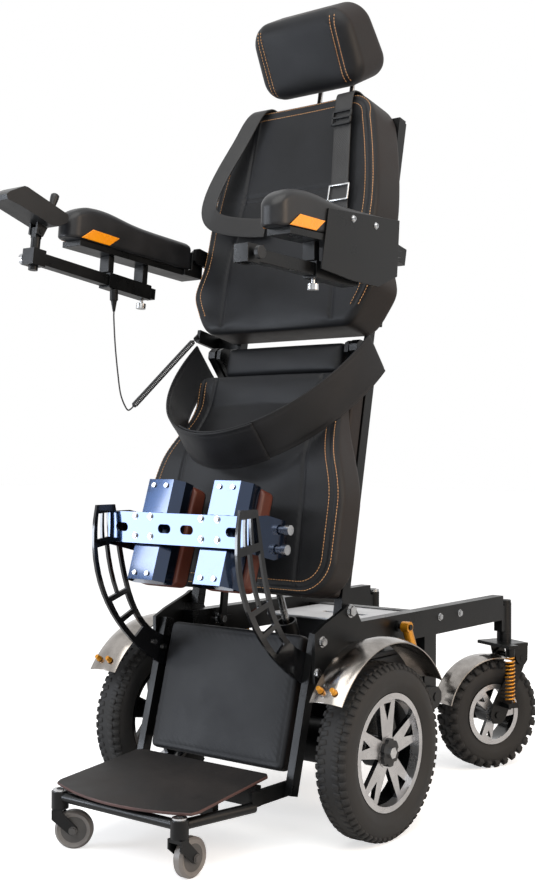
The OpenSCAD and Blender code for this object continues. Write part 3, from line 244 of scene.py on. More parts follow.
def settle(obj: Obj) -> None:
    """Put an object's place into its mesh, so that the object sits at the origin."""
    activate(obj)
    bpy.ops.object.transform_apply(location=True, rotation=True, scale=True)


def named(name: str) -> Obj:
    """Name the active object and its mesh.

    Args:
        name: The name.

    Returns:
        The object.
    """
    obj = bpy.context.view_layer.objects.active
    obj.name = name
    obj.data.name = name
    return obj


def linked(name: str, data: object) -> Obj:
    """Make an object of a mesh, camera or lamp, and link it to the scene."""
    obj = bpy.data.objects.new(name, data)
    bpy.context.scene.collection.objects.link(obj)
    return obj


def mesh_piece(name: str, points: Array, faces: Iterable[Sequence[int]], edges: Sequence[Point] = ()) -> Obj:
    """Make an object from a mesh.

    Args:
        name: Name of the piece.
        points: Rows of points, in metres.
        faces: Numbers of each face's points.
        edges: Numbers of each loose edge's points.

    Returns:
        The object.
    """
    mesh = bpy.data.meshes.new(name)
    mesh.from_pydata([tuple(p) for p in np.asarray(points, float)], edges, [tuple(f) for f in faces])
    mesh.update()
    return linked(name, mesh)


def joined(name: str, parts: Sequence[Obj]) -> Obj:
    """Join objects into one piece.

    Args:
        name: Name of the piece.
        parts: What is joined.

    Returns:
        The piece.
    """
    bpy.ops.object.select_all(action="DESELECT")
    for part in parts:
        part.select_set(True)
    bpy.context.view_layer.objects.active = parts[0]
    if len(parts) > 1:
        bpy.ops.object.join()
    return named(name)


def coordinates(obj: Obj) -> Array:
    """Give a mesh's points as rows."""
    flat = np.zeros(3 * len(obj.data.vertices))
    obj.data.vertices.foreach_get("co", flat)
    return flat.reshape(-1, 3)


def move_points(obj: Obj, points: Array) -> None:
    """Put a mesh's points at new places."""
    obj.data.vertices.foreach_set("co", np.asarray(points, float).ravel())
    obj.data.update()


def normals(obj: Obj) -> Array:
    """Give the normals at a mesh's points as rows."""
    flat = np.zeros(3 * len(obj.data.vertices))
    obj.data.vertex_normals.foreach_get("vector", flat)
    return flat.reshape(-1, 3)


def unit(v: Array) -> Array:
    """Scale rows of vectors to length one."""
    return v / np.maximum(np.linalg.norm(v, axis=-1, keepdims=True), 1e-12)


def ease(u: float) -> float:
    """Rise smoothly from 0 to 1 while u does."""
    t = min(max(u, 0.0), 1.0)
    return t * t * (3 - 2 * t)


def run_of(path: Array) -> Array:
    """Give the length of a path up to each of its points."""
    return np.concatenate([[0], np.cumsum(np.linalg.norm(np.diff(path, axis=0), axis=1))])


def even_path(path: Array, step: float) -> Array:
    """Space points evenly along a path.

    Args:
        path: Rows of points.
        step: Wanted distance between points.

    Returns:
        Rows of points, with the two ends kept.
    """
    run = run_of(path)
    count = max(2, int(round(run[-1] / step)) + 1)
    marks = np.linspace(0, run[-1], count)
    return np.stack([np.interp(marks, run, path[:, k]) for k in range(path.shape[1])], axis=1)


def spline(points: Sequence[Point], steps: int) -> Array:
    """Run a smooth curve through points.

    Args:
        points: Points that the curve passes.
        steps: Points made for each stretch.

    Returns:
        Rows of points on the curve.
    """
    p = np.array(points, float)
    p = np.vstack([2 * p[0] - p[1], p, 2 * p[-1] - p[-2]])
    made = []
    for a, b, c, d in zip(p, p[1:], p[2:], p[3:]):
        for t in np.arange(steps) / steps:
            made.append(0.5 * (2 * b + (c - a) * t + (2 * a - 5 * b + 4 * c - d) * t**2
                               + (3 * b - a - 3 * c + d) * t**3))
    return np.array([*made, p[-2]])


def place_piece(obj: Obj, body: str, slot: Slot, *nodes: str) -> None:
    """Let a piece ride on a body and stand for solids.

    Args:
        obj: The piece.
        body: Body that it moves with.
        slot: Material slot of the record; not used.
        nodes: Solids that it stands for.
    """
    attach(obj, body)
    if nodes:
        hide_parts(*nodes)
    LOG.info("%s rides on %s", obj.name, body)


# Finishes


def colour(text: str) -> tuple[float, float, float, float]:
    """Turn a display colour such as 26272a into linear light."""
    parts = [int(text[k:k + 2], 16) / 255 for k in (0, 2, 4)]
    return (*[c / 12.92 if c <= 0.04045 else ((c + 0.055) / 1.055) ** 2.4 for c in parts], 1.0)


def add_node(tree: Tree, kind: str, **values: object) -> bpy.types.Node:
    """Add a shader node.

    Args:
        tree: Nodes that it joins.
        kind: Its type, without the words Shader Node.
        values: Values of its inputs, with underscores for the spaces in their names.

    Returns:
        The node.
    """
    node = tree.nodes.new(f"ShaderNode{kind}")
    for name, value in values.items():
        node.inputs[name.replace("_", " ")].default_value = value
    return node


class Effect(Enum):
    """Shader node groups that several finishes share, each made on first use."""

    PATCHES = "patches"
    GRAIN = "grain"
    BRUSHING = "brushing"

    @property
    def group(self) -> Tree:
        """Give the effect's group, with the inputs Vector and Scale and one output."""
        return bpy.data.node_groups.get(self.value) or self.build()

    def build(self) -> Tree:
        """Make the group.

        Returns:
            The group.
        """
        tree = bpy.data.node_groups.new(self.value, "ShaderNodeTree")
        for title, way, kind in (("Vector", "INPUT", "Vector"), ("Scale", "INPUT", "Float"),
                                 ("Value", "OUTPUT", "Float")):
            tree.interface.new_socket(title, in_out=way, socket_type=f"NodeSocket{kind}")
        inputs = tree.nodes.new("NodeGroupInput").outputs
        fill = {Effect.PATCHES: self.patches, Effect.GRAIN: self.grain, Effect.BRUSHING: self.brushing}[self]
        made = fill(tree, inputs["Vector"], inputs["Scale"])
        tree.links.new(made, tree.nodes.new("NodeGroupOutput").inputs["Value"])
        return tree

    @staticmethod
    def texture(tree: Tree, vector: Socket, scale: Socket, kind: str, **values: object) -> bpy.types.Node:
        """Add a texture.

        Args:
            tree: The group's nodes.
            vector: Coordinates that it follows.
            scale: Its scale.
            kind: Its type.
            values: Values of its other inputs.

        Returns:
            The texture's node.
        """
        node = add_node(tree, kind, **values)
        tree.links.new(vector, node.inputs["Vector"])
        tree.links.new(scale, node.inputs["Scale"])
        return node

    @classmethod
    def patches(cls, tree: Tree, vector: Socket, scale: Socket) -> Socket:
        """Make soft patches between 0 and 1, for handling marks and dust.

        Args:
            tree: The group's nodes.
            vector: Coordinates that it follows.
            scale: Its scale.

        Returns:
            The patches' value.
        """
        noise = cls.texture(tree, vector, scale, "TexNoise", Detail=5, Roughness=0.6)
        ramp = add_node(tree, "MapRange", From_Min=0.36, From_Max=0.68)
        tree.links.new(noise.outputs["Fac"], ramp.inputs["Value"])
        return ramp.outputs["Result"]

    @classmethod
    def grain(cls, tree: Tree, vector: Socket, scale: Socket) -> Socket:
        """Make a pebbled grain with finer noise on it, as a height.

        Args:
            tree: The group's nodes.
            vector: Coordinates that it follows.
            scale: Its scale.

        Returns:
            The grain's height.
        """
        cells = add_node(tree, "TexVoronoi")
        cells.feature = "SMOOTH_F1"
        cells.inputs["Smoothness"].default_value = 0.35
        tree.links.new(vector, cells.inputs["Vector"])
        tree.links.new(scale, cells.inputs["Scale"])
        noise = cls.texture(tree, vector, scale, "TexNoise", Detail=4)
        mix = add_node(tree, "Math")
        mix.operation = "MULTIPLY_ADD"
        mix.inputs[1].default_value = -1.0
        tree.links.new(cells.outputs["Distance"], mix.inputs[0])
        tree.links.new(noise.outputs["Fac"], mix.inputs[2])
        return mix.outputs["Value"]

    @classmethod
    def brushing(cls, tree: Tree, vector: Socket, scale: Socket) -> Socket:
        """Make fine lines along x, for brushed or rubbed metal."""
        stretch = add_node(tree, "Mapping", Scale=(0.04, 1.0, 1.0))
        tree.links.new(vector, stretch.inputs["Vector"])
        return cls.texture(tree, stretch.outputs["Vector"], scale, "TexNoise", Detail=3).outputs["Fac"]


LINE_SCALE = 60.0
WHITE = (1, 1, 1, 1)


@dataclass(frozen=True)
class Finish:
    """A finish with patches of wear, a grain and an optional clear coat."""

    name: str
    tone: str
    worn_tone: str
    smooth: float
    rough: float
    patch_scale: float = 9.0
    grain_scale: float = 900.0
    grain_depth: float = 0.05
    metallic: float = 0.0
    specular: float = 0.5
    coat: float = 0.0
    coat_roughness: float = 0.08
    # A shine tone other than white paints a coloured reflection.
    shine_tone: str = "ffffff"
    transmission: float = 0.0
    lines: bool = False

    @property
    def material(self) -> bpy.types.Material:
        """Give the finish's material, made on first use."""
        return bpy.data.materials.get(self.name) or self.build()

    def build(self) -> bpy.types.Material:
        """Make the material: colour and roughness follow the patches, and the grain is a bump.

        Returns:
            The material.
        """
        material = bpy.data.materials.new(self.name)
        material.use_nodes = True
        tree = material.node_tree
        shader = tree.nodes["Principled BSDF"]
        for socket, value in (
            ("Metallic", self.metallic), ("Specular IOR Level", self.specular), ("Coat Weight", self.coat),
            ("Coat Roughness", self.coat_roughness), ("Transmission Weight", self.transmission),
            ("Specular Tint", colour(self.shine_tone)), ("Coat Tint", colour(self.shine_tone)),
        ):
            shader.inputs[socket].default_value = value
        self.colour_nodes(tree, shader, self.vector(tree))
        return material

    def vector(self, tree: Tree) -> Socket:
        """Give the coordinates that the finish follows."""
        return add_node(tree, "TexCoord").outputs["Object"]

    def effect(self, tree: Tree, effect: Effect, vector: Socket, scale: float) -> Socket:
        """Place a shared group in the material.

        Args:
            tree: The material's nodes.
            effect: The effect.
            vector: Coordinates that it follows.
            scale: Its scale per metre.

        Returns:
            The group's output.
        """
        node = tree.nodes.new("ShaderNodeGroup")
        node.node_tree = effect.group
        node.inputs["Scale"].default_value = scale
        tree.links.new(vector, node.inputs["Vector"])
        return node.outputs[0]

    def bump(self, tree: Tree, shader: bpy.types.Node, height: Socket, strength: float, depth: float) -> None:
        """Add a bump on top of the one that the shader has.

        Args:
            tree: The material's nodes.
            shader: The shader.
            height: The bump's height.
            strength: Its strength.
            depth: Its depth, in millimetres.
        """
        bump = add_node(tree, "Bump", Strength=strength, Distance=depth * MM)
        tree.links.new(height, bump.inputs["Height"])
        for link in shader.inputs["Normal"].links:
            tree.links.new(link.from_socket, bump.inputs["Normal"])
        tree.links.new(bump.outputs["Normal"], shader.inputs["Normal"])

    def colour_nodes(self, tree: Tree, shader: bpy.types.Node, vector: Socket) -> None:
        """Join the patches to colour and roughness, and the grain to the normal.

        Args:
            tree: The material's nodes.
            shader: The shader.
            vector: Coordinates that the finish follows.
        """
        mask = self.effect(tree, Effect.PATCHES, vector, self.patch_scale)
        mix = add_node(tree, "Mix")
        mix.data_type = "RGBA"
        mix.inputs[6].default_value = colour(self.tone)
        mix.inputs[7].default_value = colour(self.worn_tone)
        tree.links.new(mask, mix.inputs[0])
        tree.links.new(mix.outputs[2], shader.inputs["Base Color"])
        rough = add_node(tree, "MapRange", To_Min=self.smooth, To_Max=self.rough)
        fine = self.effect(tree, Effect.BRUSHING, vector, LINE_SCALE) if self.lines else mask
        tree.links.new(fine, rough.inputs["Value"])
        tree.links.new(rough.outputs["Result"], shader.inputs["Roughness"])
        height = self.effect(tree, Effect.GRAIN, vector, self.grain_scale)
        self.bump(tree, shader, height, 0.6, self.grain_depth)


@dataclass(frozen=True)
class Weave(Finish):
    """A woven band, whose ribs follow the piece's UV map."""

    def vector(self, tree: Tree) -> Socket:
        """Give the piece's own UV map, in metres along and across the band."""
        return add_node(tree, "TexCoord").outputs["UV"]

    def colour_nodes(self, tree: Tree, shader: bpy.types.Node, vector: Socket) -> None:
        """Add the ribs of the weave to the bump of the plain finish.

        Args:
            tree: The material's nodes.
            shader: The shader.
            vector: Coordinates that the finish follows.
        """
        super().colour_nodes(tree, shader, vector)
        ribs = add_node(tree, "TexWave", Scale=180.0, Distortion=0.3)
        ribs.wave_type = "BANDS"
        ribs.bands_direction = "DIAGONAL"
        tree.links.new(vector, ribs.inputs["Vector"])
        self.bump(tree, shader, ribs.outputs["Fac"], 0.8, 0.5)


LEATHER = Finish("black_leather", "17181a", "1f2023", 0.4, 0.54, 7.0, 700.0, 0.16, specular=0.2)
# The side leather paints warm reflected light on the pads' sides.
LEATHER_PAINTED_WARM_LIGHT = Finish("side_leather", "1b1817", "241f1e", 0.44, 0.57, 7.0, 700.0, 0.16, specular=0.2)
# The knee pads' reddish-brown sides are a painted warm reflection.
LEATHER_PAINTED_WARM_REFLECTION = Finish("brown_leather", "4a2218", "5c2c1e", 0.4, 0.52, 10.0, 700.0, 0.16, specular=0.4)
THREAD = Finish("orange_thread", "cf935a", "dcab78", 0.5, 0.65, 60.0, 4000.0, 0.08)
POWDER = Finish("black_powder_coat", "08090a", "0f1011", 0.26, 0.4, 11.0, 1600.0, 0.05, specular=0.24)
GLOSS = Finish("gloss_paint", "08090b", "0e0f12", 0.12, 0.22, 14.0, 500.0, 0.004, specular=0.5, coat=0.3)
# The light blue shine tone tints the shell's reflections: a painted blue reflection.
SHELL = Finish("shell_paint", "08090b", "0e0f12", 0.1, 0.18, 14.0, 500.0, 0.004, specular=0.9, coat=1.0,
               coat_roughness=0.06, shine_tone="a6c9f5")
PLASTIC = Finish("moulded_plastic", "111214", "191a1c", 0.34, 0.46, 16.0, 2200.0, 0.05, specular=0.34)
MOULDED = Finish("moulded_armrest", "131416", "1b1c1f", 0.32, 0.45, 13.0, 1500.0, 0.06, specular=0.34)
# The chrome's warm greys are darkened to paint in reflections of dark surroundings.
CHROME = Finish("fender_chrome", "aaa5a0", "827d78", 0.12, 0.26, 18.0, 300.0, 0.004, metallic=1.0)
ALLOY = Finish("silver_alloy", "b9babd", "a4a5a8", 0.22, 0.34, 20.0, 900.0, 0.02, metallic=0.85, coat=0.3)
STEEL = Finish("zinc_steel", "c6c8ca", "a9aaac", 0.16, 0.34, 60.0, 1500.0, 0.01, metallic=1.0, lines=True)
GOLD = Finish("gold_anodised", "d18f1c", "c07f14", 0.24, 0.36, 30.0, 900.0, 0.01, metallic=0.55, coat=0.4)
AMBER = Finish("amber_lens", "f59a0c", "ee8b06", 0.22, 0.34, 24.0, 700.0, 0.02, specular=0.5, coat=0.3)
TYRE = Finish("tyre_rubber", "1b1b1c", "272625", 0.62, 0.8, 12.0, 800.0, 0.1, specular=0.35)
MOULD_LINE = Finish("yellow_line", "b79a3a", "8f7a30", 0.6, 0.75, 40.0, 900.0, 0.05)
CASTOR_TREAD = Finish("grey_tread", "726d6a", "837e7a", 0.34, 0.5, 25.0, 900.0, 0.05, transmission=0.15)
CASTOR_HUB = Finish("grey_hub", "3f3d3c", "504d4b", 0.4, 0.55, 25.0, 900.0, 0.05)
MAT = Finish("foot_mat", "1c1b1b", "262322", 0.5, 0.64, 8.0, 520.0, 0.2, specular=0.26)
MAT_EDGE = Finish("mat_edge", "4a2e2a", "3a2624", 0.5, 0.64, 30.0, 700.0, 0.1)
DECK = Finish("silver_deck", "d4d6d9", "c2c4c7", 0.3, 0.42, 9.0, 900.0, 0.02, metallic=0.35)
CORD = Finish("cord_jacket", "131314", "1c1c1d", 0.38, 0.5, 30.0, 1500.0, 0.03)
WEBBING = Weave("black_webbing", "141415", "1d1d1e", 0.5, 0.65, 20.0, 1200.0, 0.05)


def dress(obj: Obj, *finishes: Finish) -> None:
    """Give an object the materials of finishes, in order."""
    obj.data.materials.clear()
    for finish in finishes:
        obj.data.materials.append(finish.material)


def set_finishes(obj: Obj, choice: Array) -> None:
    """Choose the number of each face's finish."""
    obj.data.polygons.foreach_set("material_index", choice.astype(np.int32))


# Rigid pieces


@dataclass(frozen=True)
class Faces:
    """What a finish is chosen by: rows of face centres, normals and the boxes of the solids they are on.

    Places are millimetres from the drive axle.
    """

    centre: Array
    normal: Array
    low: Array
    high: Array

    @property
    def size(self) -> Array:
        """Give the longest side of each face's solid."""
        return (self.high - self.low).max(axis=1)


Picker = Callable[[Faces], Array]
BOLT_SIZE = 34.0
GUARD_SIZE = 180.0
FLAT_ANGLE = 0.8
CASTER_SWING = -24.0


def solids_of(mesh: bpy.types.Mesh) -> Array:
    """Number the separate solids of a mesh.

    Args:
        mesh: A mesh whose doubled points are merged.

    Returns:
        The number of the solid that each point belongs to.
    """
    number = np.arange(len(mesh.vertices))
    edges = np.array([edge.vertices for edge in mesh.edges])
    while True:
        before = number.copy()
        least = np.minimum(number[edges[:, 0]], number[edges[:, 1]])
        for end in (0, 1):
            np.minimum.at(number, edges[:, end], least)
        number = number[number]
        if (number == before).all():
            return number


def from_axle(places: Sequence[Point]) -> Array:
    """Turn places in metres into rows of millimetres from the drive axle."""
    return (np.array(places, float) - np.array(AXLE)) / MM


def faces_of(mesh: bpy.types.Mesh) -> Faces:
    """Measure the faces of a mesh and the solids they are on.

    Args:
        mesh: The mesh.

    Returns:
        The faces.
    """
    places = from_axle([v.co for v in mesh.vertices])
    solid = solids_of(mesh)
    first = np.array([p.vertices[0] for p in mesh.polygons])
    low, high = np.zeros((len(places), 3)), np.zeros((len(places), 3))
    for number in np.unique(solid):
        of_it = solid == number
        low[of_it] = places[of_it].min(axis=0)
        high[of_it] = places[of_it].max(axis=0)
    normal = np.array([p.normal for p in mesh.polygons], float)
    return Faces(from_axle([p.center for p in mesh.polygons]), normal, low[first], high[first])


def small_parts(limit: float) -> Picker:
    """Choose the second finish for solids smaller than a limit, such as bolts."""
    return lambda faces: (faces.size < limit).astype(int)


def plain(faces: Faces) -> Array:
    """Choose the first finish for all faces."""
    return np.zeros(len(faces.centre), int)


@dataclass(frozen=True)
class Rigid:
    """A rigid piece that stands for one solid of the frame, with its edges rounded."""

    node: str
    body: str
    slot: Slot
    finishes: tuple[Finish, ...]
    edge: float = 1.2
    pick: Picker = plain
    segments: int = 2
    sharp: float = 35.0

    def build(self) -> None:
        """Copy the solid, clean its mesh, choose finishes and round the edges."""
        obj = NODES[self.node].copy()
        obj.data = NODES[self.node].data.copy()
        obj.name = obj.data.name = f"{self.node}_look"
        obj.hide_render = obj.hide_viewport = False
        obj.parent = None
        for key in list(obj.keys()):
            del obj[key]
        bpy.context.scene.collection.objects.link(obj)
        obj.hide_set(False)
        in_edit_mode(
            obj,
            merge,
            lambda: bpy.ops.mesh.dissolve_degenerate(threshold=MERGE),
            lambda: bpy.ops.mesh.dissolve_limited(angle_limit=math.radians(FLAT_ANGLE)),
        )
        dress(obj, *self.finishes)
        set_finishes(obj, self.pick(faces_of(obj.data)))
        round_edges(obj, self.edge, self.segments, self.sharp)
        shade(obj)
        finish_with(obj, "WEIGHTED_NORMAL", mode="FACE_AREA", weight=80, keep_sharp=True)
        place_piece(obj, self.body, self.slot, self.node)


@dataclass(frozen=True)
class AxleLine:
    """A wheel's axle, along which its finishes are chosen; lengths are millimetres."""

    centre: Vector
    out: Point
    cap: float = 60.0
    nut: float = 33.0
    wall: tuple[float, float] = (100.0, 15.0)
    hub: float = 24.0
    bolt: float = 30.0

    def places(self, faces: Faces) -> tuple[Array, Array]:
        """Give the distance of faces along the axle and from it."""
        axis, across = np.array(self.out, float), faces.centre - from_axle(self.centre)
        return across @ axis, np.linalg.norm(across - (across @ axis)[:, None] * axis, axis=1)

    def rim(self, faces: Faces) -> Array:
        """Choose silver for the outer faces of a rim, black behind, and a black cap with a steel nut.

        Args:
            faces: Faces of the rim.

        Returns:
            The choice among silver, black, cap and nut finishes.
        """
        facing = faces.normal @ np.array(self.out, float)
        depth, radius = self.places(faces)
        wall = (radius > self.wall[0]) & (facing > -0.3) & (depth > self.wall[1])
        choice = np.where((facing > 0.5) | wall, 0, 1)
        choice = np.where(faces.size < self.cap, 2, choice)
        return np.where(faces.size < self.nut, 3, choice)

    def castor(self, faces: Faces) -> Array:
        """Choose among the tread, hub and bolt finishes of a small wheel."""
        radius = self.places(faces)[1]
        return np.where(radius > self.hub, 0, np.where(faces.size < self.bolt, 2, 1))


def guard_or_bolt(faces: Faces) -> Array:
    """Choose the third finish for a caster's guard, and the second for its bolts."""
    return np.where(faces.size > GUARD_SIZE, 2, small_parts(BOLT_SIZE)(faces))


def level(degrees: float) -> Vector:
    """Give the direction that x takes when turned about z."""
    return Vector((math.cos(math.radians(degrees)), math.sin(math.radians(degrees)), 0))


def rigid_pieces() -> list[Rigid]:
    """List the pieces that keep the shape of their solids.

    Returns:
        The pieces, in the order in which they are made.
    """
    bolts, tiny = small_parts(BOLT_SIZE), small_parts(24)
    black, steel, paint = (POWDER, STEEL), (STEEL,), (SHELL, STEEL)
    rim = (ALLOY, GLOSS, PLASTIC, STEEL)
    listed = [
        Rigid("base_frame", "base", Slot.FRAME, black, 1.6, bolts),
        Rigid("deck_plate", "base", Slot.ALLOY, (DECK,), 0.8),
        Rigid("power_pack", "base", Slot.HOUSING, (PLASTIC, STEEL), 3.0, bolts),
        Rigid("shock_bodies", "base", Slot.GOLD, (GOLD, STEEL), 0.8, bolts),
        Rigid("seat_frame", "seat", Slot.FRAME, black, 1.4, bolts),
        Rigid("back_frame", "back", Slot.FRAME, black, 1.4, bolts),
        Rigid("headrest_posts", "headrest", Slot.STEEL, steel, 0.8),
        Rigid("parallel_links", "parallel_link", Slot.FRAME, black, 1.2, bolts),
        Rigid("lift_tube", "lift_tube", Slot.FRAME, black, 1.2, bolts),
        Rigid("lift_rod", "lift_rod", Slot.STEEL, steel, 0.8),
        Rigid("legrest_frame", "legrest", Slot.FRAME, black, 1.4, bolts),
        Rigid("knee_arms", "legrest", Slot.GLOSS, (GLOSS, STEEL), 1.0, bolts),
        Rigid("knee_bar", "knee_support", Slot.GLOSS, paint, 0.7, bolts),
        Rigid("knee_shells", "knee_support", Slot.GLOSS, paint, 5.0, bolts, 4, 25.0),
        Rigid("footplate_frame", "footplate", Slot.FRAME, black, 1.4, bolts),
        Rigid("accessory_bar", "accessory_bar", Slot.FRAME, (POWDER, PLASTIC), 1.0, tiny),
        Rigid("controller_bar", "controller_bar", Slot.FRAME, black, 1.0, tiny),
        Rigid("power_button", "power_button", Slot.STEEL, steel, 0.6),
        Rigid("horn_button", "horn_button", Slot.STEEL, steel, 0.6),
        Rigid("joystick_ball", "joystick_ball", Slot.HOUSING, (PLASTIC,), 0.6),
    ]
    for side in Side:
        w = side.word
        drive = AxleLine(PIVOTS[f"drive_spin_{w}"], side.value * X_AXIS)
        caster = AxleLine(PIVOTS[f"caster_spin_{w}"], side.value * level(CASTER_SWING))
        listed += [
            Rigid(f"fender_{w}", "base", Slot.CHROME, (CHROME, GOLD), 0.6, small_parts(30)),
            Rigid(f"drive_arm_{w}", f"drive_arm_{w}", Slot.FRAME, black, 1.4, bolts),
            Rigid(f"drive_rim_{w}", f"drive_wheel_{w}", Slot.ALLOY, rim, 1.0, drive.rim),
            Rigid(f"caster_crown_{w}", f"caster_{w}", Slot.FRAME, black, 1.4, bolts),
            Rigid(f"caster_fork_{w}", f"caster_fork_{w}", Slot.FRAME, (*black, CHROME), 1.4, guard_or_bolt),
            Rigid(f"caster_rim_{w}", f"caster_wheel_{w}", Slot.ALLOY, rim, 1.0, caster.rim),
            Rigid(f"front_fork_{w}", f"front_castor_{w}", Slot.FRAME, black, 1.6, bolts),
            Rigid(f"armrest_{w}", f"armrest_{w}", Slot.FRAME, black, 1.2, bolts),
        ]
    return listed


# Padded pieces


def shell_grid(counts: tuple[int, int, int]) -> tuple[Array, list[tuple[int, int, int, int]]]:
    """Make the closed grid of a box's surface.

    Args:
        counts: Cells along x, y and z.

    Returns:
        Points from -1 to 1, and faces that look outwards.
    """
    ids: dict[tuple[int, ...], int] = {}
    faces = []
    for axis in range(3):
        u, v = (axis + 1) % 3, (axis + 2) % 3
        for end in (0, counts[axis]):
            for i in range(counts[u]):
                for j in range(counts[v]):
                    corner = []
                    for du, dv in ((0, 0), (1, 0), (1, 1), (0, 1)):
                        key = [0, 0, 0]
                        key[axis], key[u], key[v] = end, i + du, j + dv
                        corner.append(ids.setdefault(tuple(key), len(ids)))
                    faces.append(tuple(corner if end else corner[::-1]))
    points = np.array(list(ids), float) / np.array(counts) * 2 - 1
    return points, faces


def near_path(points: Array, path: Array) -> Array:
    """Give the distance of flat points from a path.

    Args:
        points: Rows of two coordinates.
        path: Rows of two coordinates.

    Returns:
        One distance for each point.
    """
    best = np.full(len(points), 1e9)
    for a, b in zip(path, path[1:]):
        run = b - a
        t = np.clip((points - a) @ run / max(run @ run, 1e-9), 0, 1)
        best = np.minimum(best, np.linalg.norm(points - (a + t[:, None] * run), axis=1))
    return best


CLOTH = {
    "quality": 5, "mass": 0.4, "tension_stiffness": 18, "compression_stiffness": 12, "bending_stiffness": 1.2,
    "vertex_group_mass": "held", "use_pressure": True, "uniform_pressure_force": 4,
}
CLOTH_FRAMES = 20
RAY_START = 120.0


@dataclass(frozen=True)
class Seam:
    """A sewn line on the front of a pad, in the pad's x and z."""

    path: Array
    depth: float = 2.4
    width: float = 4.5


@dataclass
class Pad:
    """An upholstered pad: a crowned front, a flat back and sewn lines, in millimetres of its own axes.

    The front looks to -y, x runs across and z along the pad.
    """

    name: str
    body: str
    node: str
    axes: Axes
    low: float
    high: float
    width: Profile
    front: Profile
    rear: Profile
    crown: Profile
    corners: tuple[float, float] = (40.0, 40.0)
    edge: float = 22.0
    rear_edge: float = 8.0
    cell: float = 6.0
    puff: float = 7.0
    fill: float = 0.7
    seams: list[Seam] = field(default_factory=list)
    rows: list[Array] = field(default_factory=list)
    # By default the sides take leather with painted warm reflected light.
    finishes: tuple[Finish, ...] = (LEATHER, LEATHER_PAINTED_WARM_LIGHT)
    wrinkle: float = 0.2

    @property
    def half(self) -> tuple[float, float]:
        """Give half of the widest width and half of the length."""
        widest = max(self.width(z) for z in np.linspace(self.low, self.high, 40))
        return widest, (self.high - self.low) / 2

    @property
    def depth(self) -> float:
        """Give the depth of the pad at its middle."""
        middle = (self.low + self.high) / 2
        return self.rear(middle) - self.front(middle)

    def border(self, inset: float, start: float, end: float, ends: str = "low") -> Array:
        """Lay a path inside the outline of the front.

        Args:
            inset: Distance from the outline.
            start: Height z at which the path starts on the -x side.
            end: Height z at which it ends on the +x side.
            ends: The end of the pad that the path passes, low or high.

        Returns:
            Rows of x and z.
        """
        at_low = ends == "low"
        sign = 1 if at_low else -1
        radius = max(self.corners[0 if at_low else 1] - inset, 4.0)
        line = (self.low + inset) if at_low else (self.high - inset)
        pivot = line + sign * radius
        left = [(-self.width(z) + inset, z) for z in np.linspace(start, pivot, 40)]
        right = [(self.width(z) - inset, z) for z in np.linspace(pivot, end, 40)]
        turn = np.linspace(0, math.pi / 2, 12)[1:]
        x0 = self.width(pivot) - inset - radius
        bend = [(-x0 - radius * math.cos(a), pivot - sign * radius * math.sin(a)) for a in turn]
        back = [(x0 + radius * math.sin(a), pivot - sign * radius * math.cos(a)) for a in np.insert(turn, 0, 0)]
        return np.array([*left, *bend, *back, *right[1:]])

    def shaped(self, unit_points: Array) -> Array:
        """Shape the points of a box grid into the pad.

        Args:
            unit_points: Rows of points from -1 to 1.

        Returns:
            Rows of points in the pad's axes.
        """
        wide, tall = self.half
        depth = self.depth
        x, z = unit_points[:, 0] * wide, unit_points[:, 2] * tall
        d = (unit_points[:, 1] + 1) / 2 * depth
        level = np.minimum(wide - np.abs(x), tall - np.abs(z))
        at_front = d < depth / 2
        gap = np.where(at_front, d, depth - d)
        radius = np.where(at_front, self.edge, self.rear_edge)
        s = level - gap
        bend = np.radians(45) * (1 + np.clip(s / radius, -1, 1))
        inset = np.where(np.abs(s) < radius, radius * (1 - np.cos(bend)), np.maximum(level, 0))
        sink = np.where(np.abs(s) < radius, radius * (1 - np.sin(bend)), gap)
        x = x * (wide - inset) / np.maximum(wide - level, 1e-6)
        z = z * (tall - inset) / np.maximum(tall - level, 1e-6)
        corner = np.where(z < 0, self.corners[0], self.corners[1])
        dx, dz = np.abs(x) - (wide - corner), np.abs(z) - (tall - corner)
        both = (dx > 0) & (dz > 0)
        scale = np.where(both, np.maximum(dx, dz) / np.maximum(np.hypot(dx, dz), 1e-9), 1)
        x = np.where(both, np.sign(x) * (wide - corner + dx * scale), x)
        z = np.where(both, np.sign(z) * (tall - corner + dz * scale), z)
        height = z + (self.low + self.high) / 2
        width, front, rear, crown = (
            np.array([profile(h) for h in height]) for profile in (self.width, self.front, self.rear, self.crown))
        part = np.where(at_front, sink, depth - sink) / depth
        bulge = crown * (1 - np.clip(x / wide, -1, 1) ** 2) * np.clip(1 - part, 0, 1) ** 2
        return np.stack([x * (width / wide), front + part * (rear - front) - bulge, height], axis=1)

    def grid(self) -> tuple[Obj, Array]:
        """Make the plain pad.

        Returns:
            The piece, and a truth for each point that lies on the front.
        """
        wide, tall = self.half
        counts = tuple(max(2, round(length / self.cell)) for length in (2 * wide, self.depth, 2 * tall))
        unit_points, faces = shell_grid(counts)
        obj = mesh_piece(self.name, self.axes.points(self.shaped(unit_points)), faces)
        close_seams(obj)
        return obj, unit_points[:, 1] < -0.999

    def held_points(self, local: Array, on_front: Array) -> Array:
        """Give how firmly each point is held while the pad swells.

        Args:
            local: Rows of points in the pad's axes.
            on_front: Truth for each point on the front.

        Returns:
            A weight from 0 to 1 for each point.
        """
        held = np.where(on_front, 0.0, 1.0)
        for seam in self.seams:
            held = np.maximum(held, near_path(local[:, [0, 2]], seam.path) < 0.6 * self.cell)
        return held

